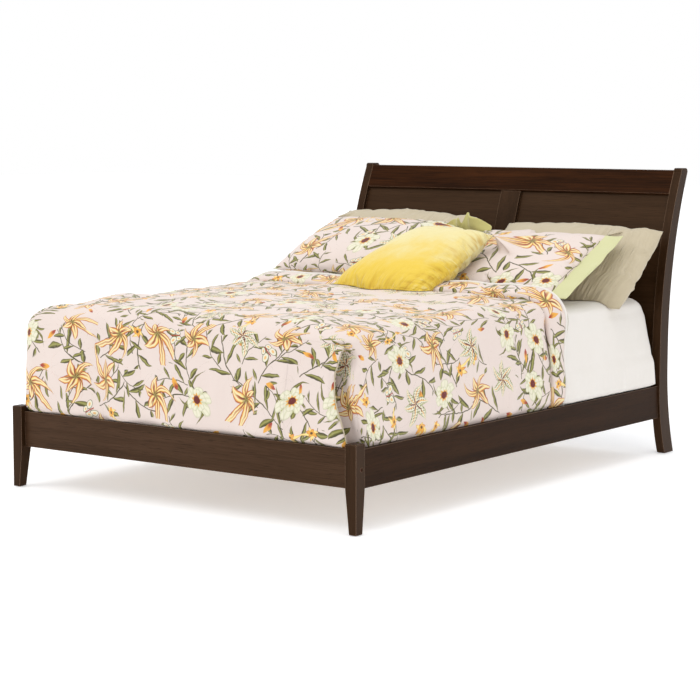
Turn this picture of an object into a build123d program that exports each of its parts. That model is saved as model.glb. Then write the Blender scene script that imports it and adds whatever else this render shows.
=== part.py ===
"""Queen size platform sleigh bed with its bedding, in millimetres.

+X is the bed's width, +Z is up and the foot end points to -Y.  The pieces are drawn with y = 0 on
the front face of the foot posts, and save() shifts them so that the origin ends up in the middle of
the bed, on the floor.
"""
import math
import os

from build123d import *

# ---- overall size -------------------------------------------------------------------------------
WIDTH = 1630
LENGTH = 2338
HEIGHT = 1192

# ---- head posts: side outline, measured from the foot posts' front face --------------------------
HEAD_POST_W = 36
POST_FRONT = 2124
POST_BACK = 2191
SWEEP_START = 450
SWEEP_FRONT = 160
SWEEP_FRONT_TOP = 1176
BACK_CORNER = 16
FRONT_CORNER = 12
FLARE_FRONT = 53
FLARE_FRONT_START = 280
FLARE_BACK = 60
FLARE_BACK_START = 365

# ---- foot posts and rails -----------------------------------------------------------------------
FOOT_POST_X = 46
FOOT_POST_Y = 50
FOOT_POST_TOP = 313
FOOT_TOE_X = 30
FOOT_TOE_Y = 36
POST_BEVEL = 3
RAIL_LOW = 157
RAIL_TOP = 292
RAIL_THICK = 24
FOOT_RAIL_INSET = 20
SIDE_RAIL_INSET = 7
GLIDE_H = 3
GLIDE_R = 11

# ---- headboard ----------------------------------------------------------------------------------
CREST_LOW = 1082
CREST_TOP = 1183
CREST_THICK = 38
CREST_BEVEL = 7
STILE_W = 98
STILE_SETBACK = 2
STILE_THICK = 30
PANEL_SETBACK = 17
PANEL_THICK = 12
TONGUE = 8
LOWER_RAIL_SETBACK = 8
LOWER_RAIL_THICK = 30

# ---- slats, ledgers and centre support ----------------------------------------------------------
DECK_Z = 225
SLAT_COUNT = 13
SLAT_W = 70
SLAT_THICK = 18
SLAT_HALF = 780
FIRST_SLAT_Y = 125
SLAT_PITCH = 160
LEDGER_W = 24
LEDGER_H = 30
LEDGER_START = 70
LEDGER_LENGTH = 1980
BEAM_W = 36
BEAM_LOW = 160
LEG_SIZE = 44
LEG_LOW = 16
LEG_PLACES = {"foot_end": 780, "head_end": 1420}
LEG_LAP = 30

# ---- hardware -----------------------------------------------------------------------------------
BOLT_R = 4
BOLT_HEAD_R = 6.5
BOLT_HEAD_H = 6
BOLT_RECESS_R = 7.5
BOLT_RECESS = 9
BOLT_REACH = 62
NUT_R = 6
NUT_LENGTH = 16
DOWEL_R = 5
DOWEL_HALF = 20
SCREW_R = 2
SCREW_HEAD_R = 4
SCREW_HEAD_H = 2.5
PLATE_W = 16
PLATE_THICK = 2.5
PLATE_LOW = 170
PLATE_TOP = 280
HOOK_W = 4
HOOK_H = 14
HOOK_DROP = 6
HOOK_TIP = 5
HOOK_PLACES = (190, 240)
HEAD_PLATE_SETBACK = 9
STUD_R = 3.95
STUD_HOLE_R = 4
STUD_LENGTH = 34
PAD_R = 19
PAD_H = 8
TEE_FLANGE_R = 11
TEE_BARREL_R = 5.5
TEE_LENGTH = 12
TEE_THICK = 1.5
LEVELER_TRAVEL = 12

# ---- bedding ------------------------------------------------------------------------------------
MATTRESS_HALF = 762
MATTRESS_START = 66
MATTRESS_LENGTH = 2032
BOX_SPRING_H = 205
MATTRESS_H = 227
SHEET = 3
SHEET_LOW = 268
DUVET_HALF = 797
DUVET_FRONT = 14
DUVET_END = 1470
DUVET_THICK = 52
DUVET_LOW = 316
TUCK_HALF = 783
TUCK_FRONT = 51
TUCK_LOW = 262
ROLL_START = 1285
ROLL_RISE = 30
SOFT_CORNER = 55

# ---- places worked out from the sizes above -------------------------------------------------------
POST_IN = WIDTH / 2 - HEAD_POST_W
FOOT_IN = WIDTH / 2 - FOOT_POST_X
RAIL_OUT = WIDTH / 2 - SIDE_RAIL_INSET
RAIL_IN = RAIL_OUT - RAIL_THICK
FOOT_RAIL_BACK = FOOT_RAIL_INSET + RAIL_THICK
FOOT_RAIL_MID = FOOT_RAIL_INSET + RAIL_THICK / 2
RAIL_MID_Z = (RAIL_LOW + RAIL_TOP) / 2
SWEEP_R = (SWEEP_FRONT**2 + (SWEEP_FRONT_TOP - SWEEP_START) ** 2) / (2 * SWEEP_FRONT)
LEDGER_TOP = DECK_Z - SLAT_THICK
LEDGER_LOW = LEDGER_TOP - LEDGER_H
LOWER_RAIL_FRONT = POST_FRONT + LOWER_RAIL_SETBACK
MATTRESS_END = MATTRESS_START + MATTRESS_LENGTH
MATTRESS_LOW = DECK_Z + BOX_SPRING_H
MATTRESS_TOP = MATTRESS_LOW + MATTRESS_H
SHEET_TOP = MATTRESS_TOP + SHEET
DUVET_TOP = SHEET_TOP + DUVET_THICK
RIGHT, LEFT = 1, -1

os.makedirs("parts", exist_ok=True)


def save(name, shape):
    """Write one node, with the origin moved to the middle of the bed."""
    export_step(shape.moved(Location((0, -LENGTH / 2, 0))), f"parts/{name}.step")


def save_pair(name, shape):
    """Write a right-hand piece and its mirror image as two nodes."""
    save(f"{name}_right", shape)
    save(f"{name}_left", mirror(shape, about=Plane.YZ))


def both_sides(solids):
    """The given right-hand solids together with their mirror images."""
    return Part() + solids + [mirror(solid, about=Plane.YZ) for solid in solids]


def block(x0, x1, y0, y1, z0, z1):
    """A box between two corners."""
    middle = Pos((x0 + x1) / 2, (y0 + y1) / 2, (z0 + z1) / 2)
    return middle * Box(x1 - x0, y1 - y0, z1 - z0)


def rod(start, direction, radius, length):
    """A round bar from a point along a direction."""
    seat = Plane(origin=start, z_dir=direction)
    return seat * Cylinder(radius, length, align=(Align.CENTER, Align.CENTER, Align.MIN))


def screw(start, direction, length):
    """A wood screw whose head lies just under the surface at start."""
    return rod(start, direction, SCREW_HEAD_R, SCREW_HEAD_H) + rod(start, direction, SCREW_R, length)


# ---- headboard ----------------------------------------------------------------------------------
def front_y(z):
    """The headboard's front line: upright, then sweeping back on one arc."""
    rise = max(0, z - SWEEP_START)
    return POST_FRONT + SWEEP_R - math.sqrt(SWEEP_R**2 - rise**2)


def swept_strip(setback, thickness, z0, z1):
    """Side outline of a board that follows the front line between two heights."""
    near, far = setback, setback + thickness
    start = max(z0, SWEEP_START)
    middle = (start + z1) / 2
    edges = [
        ThreePointArc(*[(front_y(z) + near, z) for z in (start, middle, z1)]),
        Line((front_y(z1) + near, z1), (front_y(z1) + far, z1)),
        ThreePointArc(*[(front_y(z) + far, z) for z in (z1, middle, start)]),
    ]
    if z0 < start:
        edges += [
            Line((POST_FRONT + far, start), (POST_FRONT + far, z0)),
            Line((POST_FRONT + far, z0), (POST_FRONT + near, z0)),
            Line((POST_FRONT + near, z0), (POST_FRONT + near, start)),
        ]
    else:
        edges += [Line((front_y(start) + far, start), (front_y(start) + near, start))]
    return make_face(Curve() + edges)


def swept_board(x0, x1, setback, thickness, z0, z1):
    """A board across the bed from x0 to x1 that follows the headboard's front line."""
    return extrude(Plane.YZ.offset(x0) * swept_strip(setback, thickness, z0, z1), x1 - x0)


def head_post_outline():
    """Side outline of a sleigh post: flared foot, upright middle, top swept back."""
    sweep_end = (POST_FRONT + SWEEP_FRONT, SWEEP_FRONT_TOP)
    front_top = (POST_FRONT + SWEEP_FRONT + FRONT_CORNER, HEIGHT)
    back_end = (LENGTH, HEIGHT - BACK_CORNER)
    back_top = (LENGTH - BACK_CORNER, HEIGHT)
    front_toe = (POST_FRONT + FLARE_FRONT, GLIDE_H)
    back_toe = (POST_BACK + FLARE_BACK, GLIDE_H)
    edges = [
        TangentArc((POST_FRONT, FLARE_FRONT_START), front_toe, tangent=(0, -1)),
        Line(front_toe, back_toe),
        TangentArc((POST_BACK, FLARE_BACK_START), back_toe, tangent=(0, -1)),
        Line((POST_BACK, FLARE_BACK_START), (POST_BACK, SWEEP_START)),
        TangentArc((POST_BACK, SWEEP_START), back_end, tangent=(0, 1)),
        TangentArc(back_end, back_top, tangent=(0, 1)),
        Line(back_top, front_top),
        TangentArc(front_top, sweep_end, tangent=(-1, 0)),
        TangentArc((POST_FRONT, SWEEP_START), sweep_end, tangent=(0, 1)),
        Line((POST_FRONT, SWEEP_START), (POST_FRONT, FLARE_FRONT_START)),
    ]
    return make_face(Curve() + edges)


def head_post():
    """Right-hand sleigh post, before its joints are cut."""
    return extrude(Plane.YZ.offset(POST_IN) * head_post_outline(), HEAD_POST_W)


def crest_rail():
    """Top rail between the posts, with its lower front edge bevelled."""
    rail = swept_board(-POST_IN, POST_IN, 0, CREST_THICK, CREST_LOW, CREST_TOP)
    corner = Pos(0, front_y(CREST_LOW), CREST_LOW) * Rot(X=45)
    bevel = corner * Box(2 * POST_IN + 2, CREST_BEVEL * math.sqrt(2), CREST_BEVEL * math.sqrt(2))
    return rail - bevel


def centre_stile():
    """Upright board between the two panels."""
    return swept_board(-STILE_W / 2, STILE_W / 2, STILE_SETBACK, STILE_THICK, RAIL_TOP, CREST_LOW)


def headboard_lower_rail():
    """Straight rail between the posts behind the mattress."""
    back = LOWER_RAIL_FRONT + LOWER_RAIL_THICK
    return block(-POST_IN, POST_IN, LOWER_RAIL_FRONT, back, RAIL_LOW, RAIL_TOP)


def headboard_panel():
    """Right-hand curved panel, with a tongue on all four sides."""
    inner = STILE_W / 2 - TONGUE
    outer = POST_IN + TONGUE
    return swept_board(inner, outer, PANEL_SETBACK, PANEL_THICK, RAIL_TOP - TONGUE, CREST_LOW + TONGUE)


def headboard_dowels():
    """Dowels of the crest rail, the lower rail and the centre stile."""
    crest_y = front_y((CREST_LOW + CREST_TOP) / 2) + CREST_THICK / 2
    lower_y = LOWER_RAIL_FRONT + LOWER_RAIL_THICK / 2
    across = [(crest_y - 6, CREST_LOW + 25), (crest_y + 6, CREST_TOP - 25)]
    across += [(lower_y, RAIL_LOW + 30), (lower_y, RAIL_TOP - 30)]
    pins = [rod((POST_IN - DOWEL_HALF, y, z), (1, 0, 0), DOWEL_R, 2 * DOWEL_HALF) for y, z in across]
    stile_y = STILE_SETBACK + STILE_THICK / 2
    low = (STILE_W / 4, POST_FRONT + stile_y, RAIL_TOP - DOWEL_HALF)
    high = (STILE_W / 4, front_y(CREST_LOW) + stile_y, CREST_LOW - DOWEL_HALF)
    pins += [rod(point, (0, 0, 1), DOWEL_R, 2 * DOWEL_HALF) for point in (low, high)]
    return both_sides(pins)


# ---- foot end -----------------------------------------------------------------------------------
def foot_post():
    """Right-hand foot post, with its two inner faces tapered below the rails."""
    edge = WIDTH / 2
    shaft = block(FOOT_IN, edge, 0, FOOT_POST_Y, RAIL_LOW, FOOT_POST_TOP)
    shaft = chamfer(shaft.faces().sort_by(Axis.Z)[-1].edges(), POST_BEVEL)
    top = Pos(edge - FOOT_POST_X / 2, FOOT_POST_Y / 2, RAIL_LOW) * Rectangle(FOOT_POST_X, FOOT_POST_Y)
    toe = Pos(edge - FOOT_TOE_X / 2, FOOT_TOE_Y / 2, GLIDE_H) * Rectangle(FOOT_TOE_X, FOOT_TOE_Y)
    return shaft + loft([toe, top])


def foot_rail():
    """Rail between the foot posts, before its joints are cut."""
    return block(-FOOT_IN, FOOT_IN, FOOT_RAIL_INSET, FOOT_RAIL_BACK, RAIL_LOW, RAIL_TOP)


def foot_rail_bolt():
    """Right-hand bolt that draws the foot rail against its post."""
    seat = WIDTH / 2 - BOLT_RECESS + BOLT_HEAD_H
    start = (seat, FOOT_RAIL_MID, RAIL_MID_Z)
    head = rod(start, (-1, 0, 0), BOLT_HEAD_R, BOLT_HEAD_H)
    socket = Plane(origin=start, z_dir=(-1, 0, 0)) * RegularPolygon(3, 6)
    return head + rod(start, (-1, 0, 0), BOLT_R, BOLT_REACH + BOLT_HEAD_H) - extrude(socket, 3.5)


def foot_rail_nut():
    """Right-hand barrel nut inside the foot rail."""
    x = WIDTH / 2 - BOLT_RECESS - BOLT_REACH + NUT_R
    nut = rod((x, FOOT_RAIL_BACK, RAIL_MID_Z), (0, -1, 0), NUT_R, NUT_LENGTH + 1)
    return nut - foot_rail_bolt()


def foot_rail_dowels():
    """Right-hand dowels above and below the bolt."""
    heights = (RAIL_LOW + 28, RAIL_TOP - 28)
    return [
        rod((FOOT_IN - DOWEL_HALF, FOOT_RAIL_MID, z), (1, 0, 0), DOWEL_R, 2 * DOWEL_HALF)
        for z in heights
    ]


def bolt_recess():
    """Counterbore for the bolt head in the post's outer face."""
    return rod((WIDTH / 2 + 1, FOOT_RAIL_MID, RAIL_MID_Z), (-1, 0, 0), BOLT_RECESS_R, BOLT_RECESS + 1)


# ---- side rails and their hook plates -------------------------------------------------------------
def side_rail():
    """Right-hand side rail, before its ends are cut for the hook plates."""
    return block(RAIL_IN, RAIL_OUT, FOOT_POST_Y, POST_FRONT, RAIL_LOW, RAIL_TOP)


def plate(face, inward):
    """Right-hand steel plate let in from a face, inward being +1 or -1 along Y."""
    x = (RAIL_IN + RAIL_OUT) / 2
    y0, y1 = sorted((face, face + inward * PLATE_THICK))
    return block(x - PLATE_W / 2, x + PLATE_W / 2, y0, y1, PLATE_LOW, PLATE_TOP)


def hooks(face, outward, reach):
    """Two hooks that stand out of a rail's plate and drop behind the post's plate."""
    x = (RAIL_IN + RAIL_OUT) / 2
    solids = []
    for z in HOOK_PLACES:
        end = face + outward * reach
        tip = end - outward * HOOK_TIP
        y0, y1 = sorted((face, end))
        solids.append(block(x - HOOK_W / 2, x + HOOK_W / 2, y0, y1, z, z + HOOK_H))
        y0, y1 = sorted((tip, end))
        solids.append(block(x - HOOK_W / 2, x + HOOK_W / 2, y0, y1, z - HOOK_DROP, z + HOOK_H))
    return solids


def hook_room(face, outward, reach, clearance):
    """The space around the hooks, as tall as they need to be lifted in."""
    x = (RAIL_IN + RAIL_OUT) / 2
    far = face + outward * (reach + clearance)
    y0, y1 = sorted((face, far))
    half = HOOK_W / 2 + clearance
    return [
        block(x - half, x + half, y0, y1, z - HOOK_DROP - clearance, z + HOOK_H + HOOK_DROP + 2)
        for z in HOOK_PLACES
    ]


def slots(face, outward):
    """Slots in the post's plate: a hook enters above its seat and then drops."""
    x = (RAIL_IN + RAIL_OUT) / 2
    half = HOOK_W / 2 + 0.5
    y0, y1 = sorted((face - outward, face + outward * (PLATE_THICK + 1)))
    return [block(x - half, x + half, y0, y1, z - 0.5, z + HOOK_H + HOOK_DROP + 2) for z in HOOK_PLACES]


# ---- slats, ledgers and centre support ------------------------------------------------------------
def slat_places():
    """The middle line of each slat."""
    return [FIRST_SLAT_Y + SLAT_PITCH * i for i in range(SLAT_COUNT)]


def slat(y):
    """One slat lying on the ledgers and the centre beam."""
    return block(-SLAT_HALF, SLAT_HALF, y - SLAT_W / 2, y + SLAT_W / 2, LEDGER_TOP, DECK_Z)


def slat_screws():
    """A screw at each end of each slat, into the ledger below it."""
    x = RAIL_IN - LEDGER_W / 2
    return both_sides([screw((x, y, DECK_Z), (0, 0, -1), 38) for y in slat_places()])


def ledger():
    """Right-hand ledger along the inside of the side rail."""
    end = LEDGER_START + LEDGER_LENGTH
    return block(RAIL_IN - LEDGER_W, RAIL_IN, LEDGER_START, end, LEDGER_LOW, LEDGER_TOP)


def ledger_screws():
    """Screws through the ledgers into the side rails, midway between slats."""
    places = [FIRST_SLAT_Y + SLAT_PITCH * (i + 0.5) for i in range(0, SLAT_COUNT - 1, 2)]
    start_x = RAIL_IN - LEDGER_W
    z = LEDGER_LOW + LEDGER_H / 2
    return both_sides([screw((start_x, y, z), (1, 0, 0), 40) for y in places])


def centre_beam():
    """Beam under the middle of the slats."""
    half = BEAM_W / 2
    start = FOOT_RAIL_BACK + PLATE_THICK
    return block(-half, half, start, LOWER_RAIL_FRONT - PLATE_THICK, BEAM_LOW, LEDGER_TOP)


def beam_bracket(face, inward):
    """U-shaped steel seat that holds one end of the beam, inward being +1 or -1 along Y."""
    half = BEAM_W / 2
    reach = face + inward * 40
    y0, y1 = sorted((face, reach))
    back0, back1 = sorted((face, face + inward * PLATE_THICK))
    floor = BEAM_LOW - PLATE_THICK
    seat = block(-half - PLATE_THICK, half + PLATE_THICK, y0, y1, floor, BEAM_LOW + 34)
    seat -= block(-half, half, y0 - 1, y1 + 1, BEAM_LOW, BEAM_LOW + 35)
    return seat + block(-half - 22, half + 22, back0, back1, floor, BEAM_LOW + 34)


def bracket_screws(face, outward):
    """Four screws through a bracket's ears, which lie against a rail."""
    heights = (BEAM_LOW + 8, BEAM_LOW + 26)
    start = face - outward * PLATE_THICK
    return [screw((BEAM_W / 2 + 13, start, z), (0, outward, 0), 18) for z in heights]


def support_leg(y):
    """Square leg lapped against the side of the beam's underside, with its stud hole."""
    half = LEG_SIZE / 2
    leg = block(-half, half, y - half, y + half, LEG_LOW, BEAM_LOW)
    cheek = block(BEAM_W / 2, half, y - half, y + half, BEAM_LOW, BEAM_LOW + LEG_LAP)
    return leg + cheek + mirror(cheek, about=Plane.YZ)


def leg_screw(y):
    """Screw through a leg's cheek into the beam."""
    return screw((LEG_SIZE / 2, y, BEAM_LOW + LEG_LAP / 2), (-1, 0, 0), 20)


def tee_nut(y):
    """Tee nut pressed into the end of a leg."""
    nut = rod((0, y, LEG_LOW), (0, 0, 1), TEE_FLANGE_R, TEE_THICK)
    nut += rod((0, y, LEG_LOW), (0, 0, 1), TEE_BARREL_R, TEE_LENGTH)
    return nut - rod((0, y, LEG_LOW - 1), (0, 0, 1), STUD_HOLE_R, TEE_LENGTH + 2)


def stud_hole(y):
    """Room for the stud above the tee nut."""
    return rod((0, y, LEG_LOW), (0, 0, 1), STUD_HOLE_R + 0.5, STUD_LENGTH)


def leveler(y):
    """Levelling foot: round pad with a threaded stud, screwed right in."""
    pad = chamfer(Cylinder(PAD_R, PAD_H).edges().sort_by(Axis.Z)[-1], 2)
    stud = rod((0, y, PAD_H), (0, 0, 1), STUD_R, STUD_LENGTH)
    hexagon = extrude(Pos(0, y, PAD_H) * RegularPolygon(7.5, 6), 5)
    return Pos(0, y, PAD_H / 2) * pad + hexagon + stud


def glide(x, y):
    """Nylon glide under a post, with its nail."""
    return rod((x, y, 0), (0, 0, 1), GLIDE_R, GLIDE_H) + rod((x, y, 0), (0, 0, 1), 1.5, 18)


# ---- bedding ------------------------------------------------------------------------------------
def soft_block(half, y0, y1, z0, z1, corner, edge):
    """A block with rounded upright corners and a rounded top edge."""
    body = block(-half, half, y0, y1, z0, z1)
    body = fillet(body.edges().filter_by(Axis.Z), corner)
    return fillet(body.faces().sort_by(Axis.Z)[-1].edges(), edge)


def over_mattress(margin):
    """The mattress's outline grown by a margin, reaching down below the rails' top."""
    return soft_block(
        MATTRESS_HALF + margin, MATTRESS_START - margin, MATTRESS_END + margin,
        RAIL_LOW, MATTRESS_TOP + margin, SOFT_CORNER + margin, 25 + margin,
    )


def mattress():
    """Plain sprung mattress."""
    body = soft_block(
        MATTRESS_HALF, MATTRESS_START, MATTRESS_END, MATTRESS_LOW, MATTRESS_TOP, SOFT_CORNER, 25
    )
    return fillet(body.faces().sort_by(Axis.Z)[0].edges(), 12)


def box_spring():
    """Upholstered base under the mattress."""
    return soft_block(
        MATTRESS_HALF, MATTRESS_START, MATTRESS_END, DECK_Z, MATTRESS_LOW, SOFT_CORNER, 10
    )


def bottom_sheet():
    """White sheet over the mattress and the box spring, tucked in behind the rails."""
    below = block(-WIDTH, WIDTH, -LENGTH, 2 * LENGTH, 0, SHEET_LOW)
    return over_mattress(SHEET) - over_mattress(0) - below


def duvet():
    """Duvet over the foot and both sides, with its head end turned back into a thick fold."""
    body = soft_block(DUVET_HALF, DUVET_FRONT, DUVET_END, DUVET_LOW, DUVET_TOP, SOFT_CORNER, 45)
    fold = block(-DUVET_HALF, DUVET_HALF, ROLL_START, DUVET_END, SHEET_TOP, DUVET_TOP + ROLL_RISE)
    fold = fillet(fold.edges().filter_by(Axis.X).group_by(Axis.Z)[-1], ROLL_RISE - 4)
    fold = fillet(fold.edges().filter_by(Axis.Y).group_by(Axis.Z)[-1], 45)
    tuck = block(-TUCK_HALF, TUCK_HALF, TUCK_FRONT, DUVET_END, TUCK_LOW, DUVET_LOW)
    return body + fold + tuck - over_mattress(SHEET)


def lens(chord, thickness):
    """An outline bounded by two equal arcs."""
    ends = (-chord / 2, 0), (chord / 2, 0)
    upper = ThreePointArc(ends[0], (0, thickness / 2), ends[1])
    lower = ThreePointArc(ends[1], (0, -thickness / 2), ends[0])
    return make_face(Curve() + [upper, lower])


def pillow(width, height, thickness, centre, tilt, turn=0):
    """A pillow leaning back by tilt degrees, crowned both ways."""
    across = extrude(Plane.YZ.offset(-width / 2) * lens(height, thickness), width)
    along = extrude(Plane.XZ.offset(-height / 2) * lens(width, 1.7 * thickness), height)
    return Pos(*centre) * Rot(Z=turn) * Rot(X=tilt) * (across & along)


# ---- the assembly -------------------------------------------------------------------------------
def save_headboard():
    """Posts, crest rail, stile, lower rail and panels, with their joints cut."""
    dowels = headboard_dowels()
    panel = headboard_panel()
    other_panel = mirror(panel, about=Plane.YZ)
    reach = HEAD_PLATE_SETBACK + PLATE_THICK + 1 + HOOK_TIP
    plate_face = POST_FRONT + HEAD_PLATE_SETBACK
    pocket_width = PLATE_W / 2
    middle = (RAIL_IN + RAIL_OUT) / 2
    back = plate_face + PLATE_THICK
    pocket = block(middle - pocket_width, middle + pocket_width, POST_FRONT - 1, back, PLATE_LOW, PLATE_TOP)
    post = head_post() - dowels - panel - pocket - hook_room(POST_FRONT, 1, reach, 1)
    post -= glide(WIDTH / 2 - HEAD_POST_W / 2, head_glide_y())
    save_pair("head_post", post)
    save("crest_rail", crest_rail() - dowels - panel - other_panel)
    save("centre_stile", centre_stile() - dowels - panel - other_panel)
    lower = headboard_lower_rail() - dowels - panel - other_panel
    save("headboard_lower_rail", lower - both_sides(bracket_screws(LOWER_RAIL_FRONT, 1)))
    save_pair("headboard_panel", panel)
    save("headboard_dowels", dowels)


def head_glide_y():
    """Where the head posts' glides sit, in the middle of the flared foot."""
    return (POST_FRONT + FLARE_FRONT + POST_BACK + FLARE_BACK) / 2


def save_foot_end():
    """Foot posts and foot rail, with their bolts, nuts and dowels."""
    bolt = foot_rail_bolt()
    nut = foot_rail_nut()
    dowels = foot_rail_dowels()
    shank = rod((WIDTH / 2, FOOT_RAIL_MID, RAIL_MID_Z), (-1, 0, 0), BOLT_R, BOLT_RECESS + BOLT_REACH)
    reach = PLATE_THICK + 1 + HOOK_TIP
    post = foot_post() - bolt_recess() - shank - dowels
    post = post - plate(FOOT_POST_Y, -1) - hook_room(FOOT_POST_Y, -1, reach, 1)
    save_pair("foot_post", post - glide(WIDTH / 2 - FOOT_TOE_X / 2, FOOT_TOE_Y / 2))
    rail = foot_rail() - both_sides([shank, nut] + dowels)
    save("foot_rail", rail - both_sides(bracket_screws(FOOT_RAIL_BACK, -1)))
    save("foot_rail_bolts", both_sides([bolt]))
    save("foot_rail_barrel_nuts", both_sides([nut]))
    save("foot_rail_dowels", both_sides(dowels))


def save_side_rails():
    """Side rails with their hook plates, and the slotted plates in the posts."""
    foot_reach = PLATE_THICK + 1 + HOOK_TIP
    head_reach = HEAD_PLATE_SETBACK + foot_reach
    foot_plate = plate(FOOT_POST_Y, 1)
    head_plate = plate(POST_FRONT, -1)
    rail = side_rail() - foot_plate - head_plate - ledger_screws()
    save_pair("side_rail", rail)
    foot_hooks = foot_plate + hooks(FOOT_POST_Y, -1, foot_reach)
    head_hooks = head_plate + hooks(POST_FRONT, 1, head_reach)
    save("rail_hook_plates", both_sides([foot_hooks, head_hooks]))
    foot_slots = plate(FOOT_POST_Y, -1) - slots(FOOT_POST_Y, -1)
    head_face = POST_FRONT + HEAD_PLATE_SETBACK
    head_slots = plate(head_face, 1) - slots(head_face, 1)
    save("post_slot_plates", both_sides([foot_slots, head_slots]))


def save_slats():
    """Ledgers, slats and their screws."""
    into_ledger = slat_screws()
    into_rail = ledger_screws()
    save_pair("slat_ledger", ledger() - into_ledger - into_rail)
    save("ledger_screws", into_rail)
    for number, y in enumerate(slat_places(), start=1):
        save(f"slat_{number:02d}", slat(y) - into_ledger)
    save("slat_screws", into_ledger)


def save_centre_support():
    """Beam, its brackets, and two legs with levelling feet."""
    screws = [leg_screw(y) for y in LEG_PLACES.values()]
    save("centre_beam", centre_beam() - both_sides(screws))
    foot_screws = bracket_screws(FOOT_RAIL_BACK, -1)
    head_screws = bracket_screws(LOWER_RAIL_FRONT, 1)
    all_screws = both_sides(foot_screws + head_screws)
    save("beam_bracket_foot", beam_bracket(FOOT_RAIL_BACK, 1) - all_screws)
    save("beam_bracket_head", beam_bracket(LOWER_RAIL_FRONT, -1) - all_screws)
    save("bracket_screws", all_screws)
    for place, y in LEG_PLACES.items():
        leg = support_leg(y) - stud_hole(y) - tee_nut(y) - both_sides([leg_screw(y)])
        save(f"support_leg_{place}", leg)
        save(f"leveler_{place}", leveler(y))
    save("leg_tee_nuts", Part() + [tee_nut(y) for y in LEG_PLACES.values()])
    save("leg_screws", both_sides(screws))


def save_glides():
    """The four glides under the posts."""
    at_foot = glide(WIDTH / 2 - FOOT_TOE_X / 2, FOOT_TOE_Y / 2)
    at_head = glide(WIDTH / 2 - HEAD_POST_W / 2, head_glide_y())
    save("post_glides", both_sides([at_foot, at_head]))


def save_bedding():
    """Box spring, mattress, sheet, duvet and the five pillows."""
    save("box_spring", box_spring())
    save("mattress", mattress())
    save("bottom_sheet", bottom_sheet())
    save("duvet", duvet())
    save("pillow_right", pillow(750, 500, 130, (438, 1934, 816), 36))
    save("pillow_left", pillow(735, 500, 130, (-425, 1938, 828), 40))
    save("floral_pillow_right", pillow(750, 500, 100, (378, 1714, 824), 28))
    save("floral_pillow_left", pillow(750, 500, 100, (-390, 1728, 842), 28))
    save("throw_pillow", pillow(460, 460, 110, (46, 1432, 852), 30, turn=-3.5))


save_headboard()
save_foot_end()
save_side_rails()
save_slats()
save_centre_support()
save_glides()
save_bedding()
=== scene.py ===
"""Looks of the queen size sleigh bed: stained wood on the CAD frame, and its bedding as cloth.

Metres, in the frame's own axes: +X across the bed, -Y at the foot, +Z up.
"""
import math
from functools import partial

import bpy
import numpy as np
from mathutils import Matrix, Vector
from mathutils.bvhtree import BVHTree


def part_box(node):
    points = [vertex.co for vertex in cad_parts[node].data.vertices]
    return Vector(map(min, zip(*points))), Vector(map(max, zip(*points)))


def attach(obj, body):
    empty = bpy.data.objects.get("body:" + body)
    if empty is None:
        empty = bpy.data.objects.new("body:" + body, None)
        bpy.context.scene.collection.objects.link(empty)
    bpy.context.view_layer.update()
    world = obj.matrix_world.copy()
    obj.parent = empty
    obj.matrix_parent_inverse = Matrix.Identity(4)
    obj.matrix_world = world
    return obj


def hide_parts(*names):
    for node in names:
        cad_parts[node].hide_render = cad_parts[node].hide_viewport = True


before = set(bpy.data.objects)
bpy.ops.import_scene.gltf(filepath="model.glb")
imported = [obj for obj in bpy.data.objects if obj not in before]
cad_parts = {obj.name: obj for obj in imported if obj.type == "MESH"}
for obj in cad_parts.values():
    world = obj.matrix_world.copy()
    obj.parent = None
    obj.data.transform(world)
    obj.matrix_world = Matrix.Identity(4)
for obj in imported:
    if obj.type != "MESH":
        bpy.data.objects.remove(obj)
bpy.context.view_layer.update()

# ---- places read from the frame ----
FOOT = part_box("foot_post_right")[0].y
RAIL_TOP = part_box("side_rail_right")[1].z
BED_LOW, BED_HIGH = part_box("mattress")
SHEET_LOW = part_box("bottom_sheet")[0].z
DUVET_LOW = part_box("duvet")[0].z

TAU = 2 * math.pi
UP = (0.0, 0.0, 1.0)


# ---- meshes ----
SLOTS = {"green_cotton": "floral_cotton", "green_cotton_creased_shaded": "floral_cotton",
         "crease_shade_cotton": "beige_cotton"}


def add_mesh(name, points, faces, material, uv=None):
    """A smooth-shaded piece on the root body; uv holds one (u, v) for each face corner.

    The slot name that SLOTS gives for its material is looked up but not given to the piece.
    """
    mesh = bpy.data.meshes.new(name)
    mesh.from_pydata([tuple(p) for p in points], [], [tuple(f) for f in faces])
    mesh.polygons.foreach_set("use_smooth", [True] * len(mesh.polygons))
    if uv is not None:
        layer = mesh.uv_layers.new(name="cloth")
        layer.data.foreach_set("uv", np.asarray(uv, np.float32).ravel())
    mesh.materials.append(material)
    mesh.update()
    piece = bpy.data.objects.new(name, mesh)
    bpy.context.scene.collection.objects.link(piece)
    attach(piece, "root")
    finish = material.name.split(".")[0]
    SLOTS.get(finish, finish)
    return piece


def points_of(piece):
    """A piece's own vertices as an array."""
    flat = np.zeros(len(piece.data.vertices) * 3)
    piece.data.vertices.foreach_get("co", flat)
    return flat.reshape(-1, 3)


def set_points(piece, points):
    piece.data.vertices.foreach_set("co", np.asarray(points, float).ravel())
    piece.data.update()


def apply_modifiers(piece):
    """Bakes a piece's modifiers into its mesh."""
    view = bpy.context.evaluated_depsgraph_get()
    made = bpy.data.meshes.new_from_object(piece.evaluated_get(view), depsgraph=view)
    piece.modifiers.clear()
    piece.data = made


def quads_of(grid):
    """The four corners of every quad of a grid, whether of vertex numbers or of plane points."""
    corners = np.stack([grid[:-1, :-1], grid[:-1, 1:], grid[1:, 1:], grid[1:, :-1]], 2)
    return corners.reshape(-1, 4, *grid.shape[2:])


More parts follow.
